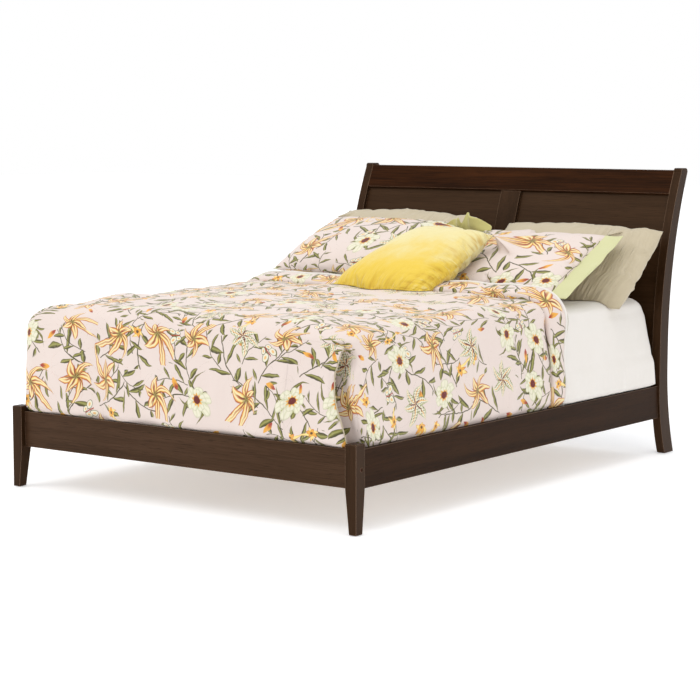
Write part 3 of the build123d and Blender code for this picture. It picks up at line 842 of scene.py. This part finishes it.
# ---- cloth finishes ----
floral = floral_material()
white = cloth_material("white_cotton", (0.74, 0.705, 0.665), (0.70, 0.665, 0.62))
beige = cloth_material("beige_cotton", (0.53, 0.458, 0.325), (0.46, 0.39, 0.268), creases=0.007, pitch=7.0,
                       gathers=1.6)
green = cloth_material("green_cotton", (0.60, 0.60, 0.33), (0.55, 0.55, 0.29))
# a darker olive copy of the green cotton, with deeper creases: painted shade for the crumpled hem that
# stands behind the cushion
shaded_creased_green = cloth_material("green_cotton_creased_shaded", (0.56, 0.52, 0.21), (0.42, 0.38, 0.12),
                               creases=0.008, pitch=14.0)
# dark brown cloth: painted shade of the deep crease where the duvet's end is turned back
crease_shade_cloth = cloth_material("crease_shade_cotton", (0.110, 0.066, 0.040), (0.075, 0.045, 0.026))
ticking = cloth_material("mattress_ticking", (0.80, 0.79, 0.75), (0.72, 0.71, 0.68),
                         sheen=0.15, rough=0.75)
velvet = velvet_material()


def mattress_block(name, node, radius, puff, seed):
    """A block of ticking with a taped edge round its top and bottom."""
    low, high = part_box(node)
    # drawn in from the CAD's sides, so that the cloth over it has room
    low += Vector((0.012, 0.023, 0.0))
    high -= Vector((0.012, 0.004, 0.0))
    piece = block(name, low, high - Vector((0, 0, puff)), radius, 0.05, ticking, puff * 0.8, seed)
    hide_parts(node)
    inset = 0.3 * radius
    for label, z in (("top", high.z - puff - inset), ("bottom", low.z + inset)):
        path = rim_path(high.x - inset, low.y + inset, high.y - inset, z, radius + 0.02)
        tube(f"{name}_tape_{label}", path, 0.005, ticking, closed=True, sides=8)


mattress_block("mattress_body", "mattress", radius=0.075, puff=0.006, seed=3)
mattress_block("box_spring_body", "box_spring", radius=0.02, puff=0.003, seed=4)

# ---- the white sheet over both ----
SHEET_HALF = 0.774
SHEET_TOP = BED_HIGH.z + 0.006
# how far out the sheet's drops stand at each height beside the pillows, where they bulge over the rails
SHEET_Z = (0.26, 0.290, 0.300, 0.395, 0.436, 0.505, 0.587, 0.640, 0.70)
SHEET_OUT = (0.776, 0.780, 0.819, 0.812, 0.799, 0.781, 0.764, 0.748, 0.735)


def make_sheet():
    points, faces, _, _, uv = soft_box(SHEET_HALF, BED_LOW.y + 0.018, BED_HIGH.y + 0.006, SHEET_LOW,
                                       SHEET_TOP, radius=0.080, pitch=0.0125, ends=(FRONT, HEAD))
    x, y, z = points.T
    bare = step(0.10, 0.25, y)
    drop = step(SHEET_TOP - 0.02, SHEET_TOP - 0.07, z)
    x *= 1 + (np.interp(z, SHEET_Z, SHEET_OUT) / SHEET_HALF - 1) * drop * bare
    x *= 1 - 0.020 * (1 - bare) * drop
    # upright creases that fade upward, a seam where mattress meets box spring, and slack
    fold = ripple(y, y * 0, 0.055, 11) * (0.3 + 0.7 * step(0.45, 0.30, z))
    fold = fold * step(SHEET_TOP - 0.08, SHEET_LOW + 0.03, z) * (1 + 1.5 * step(0.55, 0.28, y))
    side = np.sign(x) * step(0.70, 0.76, np.abs(x)) * bare
    x += side * 0.0022 * fold * step(0.290, 0.310, z)
    x -= side * 0.003 * np.exp(-((z - BED_LOW.z) / 0.012) ** 2)
    z += 0.002 * ripple(x, y, 0.22, 12) * step(SHEET_TOP - 0.03, SHEET_TOP, z)
    piece = add_mesh("white_sheet", points, faces, white, uv)
    cloth = piece.modifiers.new("cloth", "SOLIDIFY")
    cloth.thickness = 0.0015
    cloth.offset = -1
    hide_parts("bottom_sheet")
    return piece


sheet = make_sheet()

# ---- the duvet ----
FOLD_Y = FOOT + 1.300
DUVET_HALF = 0.797
DUVET_FRONT = FOOT + 0.013
DUVET_TOP = 0.708
EDGE = 0.115
# stretches of height over which the drops turn in behind the rails, the shoulders lean in, and the
# foot flap comes free of the corner
TUCK = (0.312, 0.284)
SHOULDER = (0.40, 0.64)
FREE = (0.664, 0.60)
# where the foot flap's free edge stands, by height, at the bed's right front corner
HEM_Z = (0.262, 0.300, 0.358, 0.424, 0.474, 0.545, 0.600, 0.662)
HEM_X = (0.764, 0.760, 0.738, 0.718, 0.708, 0.704, 0.728, 0.753)


def drape(points):
    """Moves points of the plain round-edged box to where the stuffed, tucked duvet has them.

    down grows from 0 on the top to 1 on the drops, side is 1 on the right drop and -1 on the left
    one, and front is 1 on the foot drop.
    """
    x, y, z = points.T.copy()
    down = step(DUVET_TOP - 0.01, DUVET_TOP - EDGE, z)
    side = step(DUVET_HALF - EDGE, DUVET_HALF, np.abs(x)) * np.sign(x)
    front = step(DUVET_FRONT + EDGE, DUVET_FRONT, y)
    # shoulders slope more than a round edge does, and the drops lean out toward the rails
    lean = (0.026 - 0.014 * step(-0.2, -0.7, x)) * step(*SHOULDER, z) * down
    tuck = step(*TUCK, z)
    x = x - side * (lean + 0.016 * tuck)
    y = y + front * (0.8 * lean + 0.032 * tuck)
    # the top's soft quilting, and the drops' shallow upright folds
    puff = 0.005 * ripple(x, y, 0.36, 21) + 0.0020 * ripple(x, y, 0.14, 22)
    rise = 0.010 * step(0.35, -0.35, x) * step(-0.9, -0.6, y) + 0.004 * step(-0.4, 0.1, y)
    rise = rise - 0.012 * step(0.35, 0.75, np.abs(x))
    z = z + (puff + rise) * (1 - down)
    hanging = (1 - tuck) * down
    fold = 0.0055 * ripple(y, z * 0.25, 0.18, 23) + 0.0022 * ripple(y, z * 0.3, 0.07, 24)
    x = x + side * hanging * np.maximum(fold, -0.004)
    fold = 0.0075 * ripple(x, z * 0.2, 0.20, 25) + 0.0045 * ripple(x, z * 0.25, 0.08, 26)
    y = y - front * hanging * (fold * (0.6 + 0.7 * step(0.60, 0.36, z)) - 0.004)
    # the edge under the turned end is rounded off
    closed = 0.013 * step(FOLD_Y - 0.028, FOLD_Y, y)
    x = x - side * closed
    z = z - closed * (1 - np.abs(side))
    # small gathers at the foot of the left front corner
    corner = step(-0.60, -0.74, x) * step(0.46, 0.33, z) * front
    y = y + corner * 0.006 * np.sin(x * 190 + z * 12)
    return np.stack([x, y, z], -1)


def sunk(points):
    """The corner that the side drop wraps round, drawn in behind the foot flap's hem."""
    x, y, z = points.T.copy()
    beyond = x - np.interp(z, HEM_Z, HEM_X)
    held = step(0.668, 0.60, z) * step(DUVET_FRONT + 0.20, DUVET_FRONT + 0.03, y)
    y = y + 0.050 * step(-0.07, -0.03, beyond) * step(0.105, 0.0, beyond) * held
    x = x + 0.006 * step(0.03, 0.09, beyond) * held
    return np.stack([x, y, z], -1)


def make_duvet():
    """The duvet, and the line of its fold for the piping there."""
    plain, faces, sides, square, uv = soft_box(DUVET_HALF, DUVET_FRONT, FOLD_Y, DUVET_LOW, DUVET_TOP,
                                               radius=EDGE, pitch=0.0135, ends=(FRONT,))
    outer = sunk(drape(plain))
    # round the right front corner the print runs on from the side drop, as the cloth does
    corners = square[faces]
    tucked = (sides == FRONT) & (corners[:, :, 0].mean(1) > 0.64)
    around = np.stack([DUVET_HALF + DUVET_TOP - corners[..., 2],
                       DUVET_FRONT - DUVET_HALF + corners[..., 0]], -1)
    uv = np.where(tucked[:, None, None], around, uv)
    thick, thick_sides = 0.022, 0.012
    core = plain.copy()
    core[:, 0] *= 1 - thick_sides / DUVET_HALF
    core[:, 1] += thick * step(DUVET_FRONT + EDGE, DUVET_FRONT, plain[:, 1])
    core[:, 2] -= thick * step(DUVET_TOP - EDGE, DUVET_TOP, plain[:, 2])
    # the two layers close in on each other toward the folded end
    closing = 1 - 0.6 * step(FOLD_Y - 0.03, FOLD_Y, plain[:, 1])[:, None]
    inner = outer + (drape(core) - outer) * closing
    inner[:, 1] = np.maximum(inner[:, 1], outer[:, 1])
    points, faces, uv = shell(outer, inner, faces, uv)
    piece = add_mesh("duvet_body", points, faces, floral, uv)
    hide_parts("duvet")
    end = np.isclose(square[:, 1], FOLD_Y)
    x, y, z = square[end].T
    from_left = np.where(z < DUVET_TOP - 1e-6, np.sign(x) * (3 - z), x)
    return piece, outer[end][np.argsort(from_left)]


duvet, fold_line = make_duvet()
# the fold's piping, dark brown as painted shade in the crease at the fold
tube("duvet_fold_shade_piping", fold_line + (0, 0.001, 0), radius=0.0034, material=crease_shade_cloth)


def make_flap():
    """The foot drop's loose right edge, standing in front of the tucked corner."""
    rows, columns = 46, 30
    left = 0.50
    z = np.linspace(FREE[0], DUVET_LOW, rows)[:, None]
    share = np.linspace(0, 1, columns)[None, :]
    x = left + (np.interp(z, HEM_Z, HEM_X) - left) * share
    square = np.stack(np.broadcast_arrays(x, DUVET_FRONT, z), -1).reshape(-1, 3)
    plain = rounded(square, DUVET_HALF, DUVET_FRONT, FOLD_Y, DUVET_TOP, EDGE, (FRONT,))
    front = drape(plain).reshape(rows, columns, 3)
    free = step(*FREE, z)
    flare = step(0.35, 1.0, share) * free
    front[..., 1] += 0.010 * step(0.93, 1.0, share) * free - 0.012 * flare
    front[..., 1] += 0.004 * step(*TUCK, z) - 0.0012
    back = front.copy()
    back[..., 1] += 0.003 + 0.014 * np.sin(np.pi * share) ** 0.5 * flare
    flat = np.stack(np.broadcast_arrays(x, DUVET_FRONT - DUVET_TOP + z), -1)
    points, faces, uv = two_layers(front, back, flat)
    piece = add_mesh("duvet_foot_flap", points, faces, floral, uv)
    tube("duvet_flap_hem", front[1:, -1] + (0.0015, 0.004, 0), radius=0.0024, material=beige)


make_flap()


def over_path(pitch, half, top, low, radius, lean):
    """The bed's outline across the mattress, from one drop's foot to the other's, and its length."""
    turns = np.linspace(0, math.pi / 2, 14)
    right = [(half - 0.020, low), (half - 0.018, 0.285), (half - 0.006, 0.312), (half, 0.36), (half, 0.40)]
    right += [(half + radius * (math.cos(a) - 1), top + radius * (math.sin(a) - 1)) for a in turns]
    line = np.array(right + [(-x, z) for x, z in right[::-1]])
    shoulder = step(*SHOULDER, line[:, 1]) * step(0.6, 0.7, np.abs(line[:, 0]))
    line[:, 0] -= np.sign(line[:, 0]) * lean * shoulder
    length = along_line(line)
    places = np.linspace(0, length[-1], round(length[-1] / pitch) + 1)
    return np.stack([np.interp(places, length, line[:, k]) for k in range(2)], -1), places - length[-1] / 2


def power_circle(angle, power):
    """A circle's cosine and sine, squared up by a power below 1."""
    return (np.sign(part) * np.abs(part) ** power for part in (np.cos(angle), np.sin(angle)))


def make_roll():
    """The duvet's head end, turned back over itself: one soft roll from rail to rail."""
    line, along = over_path(pitch=0.012, half=DUVET_HALF - 0.004, top=DUVET_TOP + 0.004,
                            low=DUVET_LOW + 0.008, radius=EDGE, lean=0.028)
    ahead = np.gradient(line, axis=0)
    ahead /= np.linalg.norm(ahead, axis=1)[:, None]
    out = np.stack([ahead[:, 1], -ahead[:, 0]], -1)
    out *= -np.sign(np.sum(out * -line, axis=1))[:, None]
    sections = 28
    high = step(0.45, 0.69, line[:, 1])
    middle = FOLD_Y + 0.048 + 0.012 * high + 0.006 * ripple(along, along * 0, 0.5, 31)
    wide = 0.051 + 0.012 * high + 0.004 * ripple(along, along * 0, 0.22, 32)
    thick = 0.0155 + 0.0045 * high + 0.003 * ripple(along, along * 0, 0.16, 33)
    thick = thick * (0.35 + 0.65 * step(0.27, 0.33, line[:, 1]))
    lift = 0.002 + 0.009 * high
    c, s = power_circle(np.arange(sections) * TAU / sections, 0.72)
    y = middle[:, None] + wide[:, None] * c
    n = lift[:, None] + thick[:, None] * s + 0.009 * c * high[:, None]
    points = np.stack([line[:, :1] + out[:, :1] * n, y, line[:, 1:] + out[:, 1:] * n], -1)
    # the print runs on round the roll, and the hidden end caps have none
    around = 0.9 + np.linspace(0, 0.34, sections + 1)
    flat = np.stack(np.broadcast_arrays(along[:, None], around), -1)
    uv = np.concatenate([quads_of(flat).reshape(-1, 2), np.zeros((2 * sections, 2))])
    faces = ring_faces(len(line), sections)
    piece = add_mesh("duvet_turned_end", points.reshape(-1, 3), faces, floral, uv)
    head_side = points[line[:, 1] > RAIL_TOP + 0.001, 5]
    tube("duvet_end_piping", head_side + (0, 0.001, 0), radius=0.0060, material=white)
    return piece


roll = make_roll()


# ---- pillows ----
def pillow_grid(width, height, columns, rows, plump):
    """Two layers of cloth sewn together all round, with a little air between them."""
    xs = np.linspace(-width / 2, width / 2, columns)
    ys = np.linspace(-height / 2, height / 2, rows)
    x, y = np.meshgrid(xs, ys, indexing="ij")
    air = plump * np.sqrt(np.clip((1 - (2 * x / width) ** 2) * (1 - (2 * y / height) ** 2), 0, 1))
    front = np.arange(columns * rows).reshape(columns, rows)
    inner = np.zeros((columns, rows), bool)
    inner[1:-1, 1:-1] = True
    back = front.copy()
    back[inner] = columns * rows + np.arange(inner.sum())
    points = np.concatenate([
        np.stack([x, y, air], -1).reshape(-1, 3),
        np.stack([x[inner], y[inner], -air[inner]], -1),
    ])
    faces = np.concatenate([quads_of(front)[:, ::-1], quads_of(back)])
    corners = quads_of(np.stack([x, y], -1))
    # the back is cut from another stretch of the print
    return points, faces, np.concatenate([corners[:, ::-1], corners + (1.3, 0.4)])


def grid_index(cushion):
    """The vertex numbers of a cushion's front, by column and row."""
    columns, rows = cushion["grid"]
    return np.arange(columns * rows).reshape(columns, rows)


def seam_of(cushion):
    """The vertex numbers along the seam all round a cushion."""
    index = grid_index(cushion)
    rim = np.ones(index.shape, bool)
    rim[1:-1, 1:-1] = False
    return index[rim]


CLOTH = {"quality": 6, "mass": 0.25, "tension_stiffness": 25, "compression_stiffness": 12,
         "shear_stiffness": 6, "bending_stiffness": 0.25, "tension_damping": 12,
         "compression_damping": 12, "shear_damping": 12, "air_damping": 4, "use_pressure": True,
         "vertex_group_shrink": "seam", "shrink_min": 0.0}


def inflate(cushions, frames):
    """Blows every cushion up together with Blender's cloth, without gravity, and keeps the shapes."""
    for piece, pressure, gather in cushions:
        piece.vertex_groups.new(name="seam").add(seam_of(piece).tolist(), 1.0, "REPLACE")
        cloth = piece.modifiers.new("air", "CLOTH")
        for name, value in CLOTH.items():
            setattr(cloth.settings, name, value)
        cloth.settings.uniform_pressure_force = pressure
        cloth.settings.shrink_max = gather
        cloth.settings.effector_weights.gravity = 0.0
        cloth.collision_settings.use_collision = False
        cloth.point_cache.frame_end = frames
    scene = bpy.context.scene
    for number in range(1, frames + 1):
        scene.frame_set(number)
    for piece, pressure, gather in cushions:
        apply_modifiers(piece)
    scene.frame_set(1)


def between(a, b, c, d, s, t):
    """Points of the patch whose corners are bottom left, bottom right, top right and top left."""
    s, t = s[:, None], t[:, None]
    return a * (1 - s) * (1 - t) + b * s * (1 - t) + c * s * t + d * (1 - s) * t


def tree_of(piece):
    """A piece's surface, for finding the nearest point on it."""
    return BVHTree.FromPolygons([v.co.copy() for v in piece.data.vertices],
                                [tuple(p.vertices) for p in piece.data.polygons])


def ground(points, bed):
    """The height of the bedding under each point; bed holds the trees of its pieces."""
    down = -Vector(UP)
    height = np.zeros(len(points))
    for k, (x, y, z) in enumerate(points):
        hits = [tree.ray_cast(Vector((x, y, 1.5)), down)[0] for tree in bed]
        height[k] = max([hit.z for hit in hits if hit is not None], default=0.0)
    return height


def lay(piece, corners, thick, straight):
    """Lays a simulated cushion on its corners, thick metres through at the middle.

    straight says how far its left, right, bottom and top sides, which air draws in between the
    corners, are let out again: 0 not at all, 1 until straight.
    """
    local = points_of(piece)
    index = grid_index(piece)
    size = np.abs(local[index[[0, -1, -1, 0], [0, 0, -1, -1]], :2]).mean(0)
    flat = local[:, :2] / size
    let = []
    seams = (index[0], index[-1], index[:, 0], index[:, -1])
    for much, seam, axis in zip(straight, seams, (0, 0, 1, 1)):
        drawn = np.interp(flat[:, 1 - axis], flat[seam, 1 - axis], flat[seam, axis])
        let.append(1 + much * (1 / np.abs(drawn) - 1))
    x, y = flat.T
    s = (x * np.where(x < 0, let[0], let[1]) + 1) / 2
    t = (y * np.where(y < 0, let[2], let[3]) + 1) / 2
    a, b, c, d = np.array(corners)
    normal = np.cross(b - a, d - a)
    normal /= np.linalg.norm(normal)
    depth = local[:, 2] * thick / np.ptp(local[:, 2]) * (1.12 - 0.24 * t)
    set_points(piece, between(a, b, c, d, s, t) + normal * depth[:, None])


# how far inside another a cushion may start, how close it may come, and where it is put instead
REACH, CLOSE, CLEAR = 0.16, 0.002, 0.003


def settle(piece, fronts, bed):
    """Presses a cushion back from the ones in front of it and up from what it lies on, as trees."""
    for _ in range(2):
        points = points_of(piece)
        for tree in fronts:
            for k, point in enumerate(points):
                near, normal, face, gap = tree.find_nearest(Vector(point), REACH)
                if near is not None and (Vector(point) - near).dot(normal) < CLOSE:
                    points[k] = near + normal * CLEAR
        points[:, 2] = np.maximum(points[:, 2], ground(points, bed) + CLOSE)
        set_points(piece, points)


def subdivide(piece):
    finer = piece.modifiers.new("finer", "SUBSURF")
    finer.levels = finer.render_levels = 1
    apply_modifiers(piece)


def refine(piece):
    """One subdivision that keeps the seam and its corners crisp."""
    on_rim = np.zeros(len(piece.data.vertices), bool)
    on_rim[seam_of(piece)] = True
    ends = np.zeros(len(piece.data.edges) * 2, int)
    piece.data.edges.foreach_get("vertices", ends)
    crease = piece.data.attributes.new("crease_edge", "FLOAT", "EDGE")
    crease.data.foreach_set("value", on_rim[ends.reshape(-1, 2)].all(1).astype(np.float32) * 0.8)
    subdivide(piece)


def make_hem(name, line, out, wave, seed, material):
    """A pillowcase's flat open end: two layers along a line of seam points, out to a free edge.

    out gives, for each point of the line, the way from the seam to the free edge; the end runs on
    a little way inside the seam.
    """
    inside, steps = 0.16, 9
    share = np.linspace(-inside, 1, steps)[None, :, None]
    middle = line[:, None] + out[:, None] * share
    normal = np.cross(np.gradient(line, axis=0), out)
    normal /= np.linalg.norm(normal, axis=1)[:, None]
    t = np.linspace(0, 1, len(line))[:, None]
    width = np.linspace(0, 1, steps)[None, :]
    height = wave * ripple(t * 0.6, width * 0.1, 0.13, seed) * width
    half = 0.0016 + 0.0040 * width * (0.6 + 0.4 * ripple(t, width * 0, 0.3, seed + 1))
    half = np.clip(half, 0.001, 0.008)
    front, back = (middle + normal[:, None] * layer[..., None]
                   for layer in (height + half, height - half))
    long = along_line(line)
    wide = float(np.linalg.norm(out, axis=1).mean())
    flat = np.stack(np.broadcast_arrays(long[:, None], width * wide), -1)
    points, faces, uv = two_layers(front, back, flat)
    piece = add_mesh(name, points, faces, material, uv)
    subdivide(piece)


def right_hem(cushion):
    """Runs on from the seam up the cushion's right end."""
    line = points_of(cushion)[grid_index(cushion)[-1]]
    share = np.linspace(0, 1, len(line))[:, None]
    out = (0.082, -0.002, -0.002) + (1 - share) * (0.004, -0.004, -0.004)
    make_hem("floral_hem_right", line, out, wave=0.004, seed=41, material=green)


def left_hem(cushion):
    """Stands up crumpled behind the cushion's top, at its right end."""
    share = np.linspace(0, 1, 40)
    line = (-0.115, FOOT + 1.925, 0.928) + share[:, None] * (0.255, -0.045, -0.030)
    stand = np.interp(share, (0, 0.10, 0.30, 0.36, 0.42, 0.58, 0.72, 0.90, 1),
                      (0.020, 0.044, 0.058, 0.030, 0.086, 0.078, 0.064, 0.040, 0.014))
    out = np.stack([0.012 * np.sin(share * 9), -0.016 + 0.014 * np.sin(share * 17), stand], -1)
    make_hem("floral_hem_left", line, out, wave=0.011, seed=43, material=shaded_creased_green)


# plump, pressure and gather shape the simulated cushion, and thick and straight say how it is laid.
# corners are its bottom left, bottom right, top right and top left, with y measured from the foot
# posts' front.  fronts are the cushions that press it back.
FLORAL = {"finish": floral, "plump": 0.04, "pressure": 5.0, "gather": 0.02, "fill": 0.6}
BEIGE = {"finish": beige, "plump": 0.05, "pressure": 5.0, "gather": 0.03, "fill": 0.6,
         "size": (0.76, 0.51), "grid": (56, 40), "thick": 0.150}
CUSHIONS = {
    "throw_cushion": {
        "node": "throw_pillow", "finish": velvet, "plump": 0.05, "pressure": 9.0, "gather": 0.08,
        "fill": 0.9, "size": (0.50, 0.50), "grid": (42, 42),
        "thick": 0.170, "straight": (0.9, 1.1, 1.15, 0.9), "fronts": (),
        "corners": ((-0.262, 1.262, 0.700), (0.232, 1.215, 0.690), (0.302, 1.640, 0.925),
                    (-0.062, 1.652, 0.940))},
    "floral_cushion_right": {
        **FLORAL, "node": "floral_pillow_right", "size": (0.68, 0.50), "grid": (50, 38),
        "thick": 0.125, "straight": (0.5, 1.0, 0.7, 0.8), "print_shift": (3.1, 2.4),
        "fronts": ("throw_cushion",),
        "corners": ((0.02, 1.475, 0.705), (0.668, 1.465, 0.702), (0.668, 1.925, 0.923),
                    (0.02, 1.93, 0.925))},
    "floral_cushion_left": {
        **FLORAL, "node": "floral_pillow_left", "size": (0.75, 0.50), "grid": (54, 38),
        "thick": 0.130, "straight": (0.8, 1.0, 0.7, 0.9), "print_shift": (5.2, 1.3),
        "fronts": ("throw_cushion", "floral_cushion_right"),
        "corners": ((-0.77, 1.53, 0.745), (-0.045, 1.50, 0.735), (-0.055, 1.965, 0.945),
                    (-0.76, 1.99, 0.954))},
    "beige_cushion_right": {
        **BEIGE, "node": "pillow_right", "straight": (0.5, 1.1, 0.9, 1.1),
        "fronts": ("floral_cushion_right",),
        "corners": ((0.07, 1.72, 0.672), (0.805, 1.795, 0.636), (0.835, 2.10, 0.938),
                    (0.08, 2.11, 0.948))},
    "beige_cushion_left": {
        **BEIGE, "node": "pillow_left", "straight": (0.9, 0.5, 0.9, 1.3),
        "fronts": ("floral_cushion_left", "beige_cushion_right"),
        "corners": ((-0.79, 1.75, 0.668), (-0.06, 1.75, 0.668), (-0.05, 2.11, 0.962),
                    (-0.79, 2.12, 0.978))},
}


def make_pillows():
    """Blows the cushions up flat, lays them on the bed from the front one back, and hems them."""
    made = {}
    for name, told in CUSHIONS.items():
        points, faces, uv = pillow_grid(*told["size"], *told["grid"], told["plump"])
        piece = add_mesh(name, points, faces, told["finish"], uv + told.get("print_shift", (0, 0)))
        piece["grid"] = list(told["grid"])
        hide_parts(told["node"])
        made[name] = piece
    inflate([(made[name], told["pressure"], told["gather"]) for name, told in CUSHIONS.items()],
            frames=28)
    bed = [tree_of(piece) for piece in (duvet, roll, sheet)]
    for name, told in CUSHIONS.items():
        corners = [(x, FOOT + y, z) for x, y, z in told["corners"]]
        lay(made[name], corners, told["thick"], told["straight"])
        settle(made[name], [tree_of(made[front]) for front in told["fronts"]], bed)
    right_hem(made["floral_cushion_right"])
    left_hem(made["floral_cushion_left"])
    for name, piece in made.items():
        refine(piece)


make_pillows()


# ---- light, floor and camera ----
def area_light(name, place, aim, size, power, colour=(1.0, 1.0, 1.0)):
    light = bpy.data.lights.new(name, "AREA")
    light.shape = "SQUARE"
    light.size = size
    light.energy = power
    light.color = colour
    lamp = bpy.data.objects.new(name, light)
    lamp.location = place
    lamp.rotation_euler = (Vector(aim) - Vector(place)).to_track_quat("-Z", "Y").to_euler()
    bpy.context.scene.collection.objects.link(lamp)


def make_stage():
    """A white floor that glows a little in a white world, and three soft lamps."""
    material, shader = start_material("floor_white")
    cloud = noise_at(object_place(), 0.7)
    feed(shader, "Base Color", blend((0.90, 0.90, 0.90), (0.92, 0.92, 0.92), cloud))
    feed(shader, "Roughness", cloud * 0.05 + 0.9)
    feed(shader, "Emission Color", (0.93, 0.955, 1.0))
    feed(shader, "Emission Strength", 0.32)
    mesh = bpy.data.meshes.new("floor")
    mesh.from_pydata([(-30, -30, 0), (30, -30, 0), (30, 30, 0), (-30, 30, 0)], [], [(0, 1, 2, 3)])
    mesh.materials.append(material)
    floor_plane = bpy.data.objects.new("floor", mesh)
    bpy.context.scene.collection.objects.link(floor_plane)
    world = bpy.data.worlds.new("studio")
    world.use_nodes = True
    background = world.node_tree.nodes["Background"]
    background.inputs["Color"].default_value = (1.0, 1.0, 1.0, 1.0)
    background.inputs["Strength"].default_value = 1.0
    bpy.context.scene.world = world
    area_light("key", (-2.6, -4.2, 4.6), (0, 0, 0.4), size=2.6, power=58, colour=(1.0, 0.985, 0.96))
    area_light("overhead", (0.9, -0.5, 4.4), (0, 0, 0.5), size=2.8, power=39)
    area_light("right", (5.2, -1.6, 2.6), (0.4, 0, 0.5), size=2.0, power=8)


def set_camera():
    """The photo's view, from the bed's right front."""
    lens = bpy.data.cameras.new("camera")
    lens.lens = 108.15
    lens.sensor_width = 36.0
    camera = bpy.data.objects.new("camera", lens)
    camera.location = (4.963, -6.776, 1.4196)
    camera.rotation_euler = (math.radians(83.58), 0.0, math.radians(36.66))
    bpy.context.scene.collection.objects.link(camera)
    bpy.context.scene.camera = camera
    bpy.context.scene.view_settings.view_transform = "Standard"


make_stage()
set_camera()
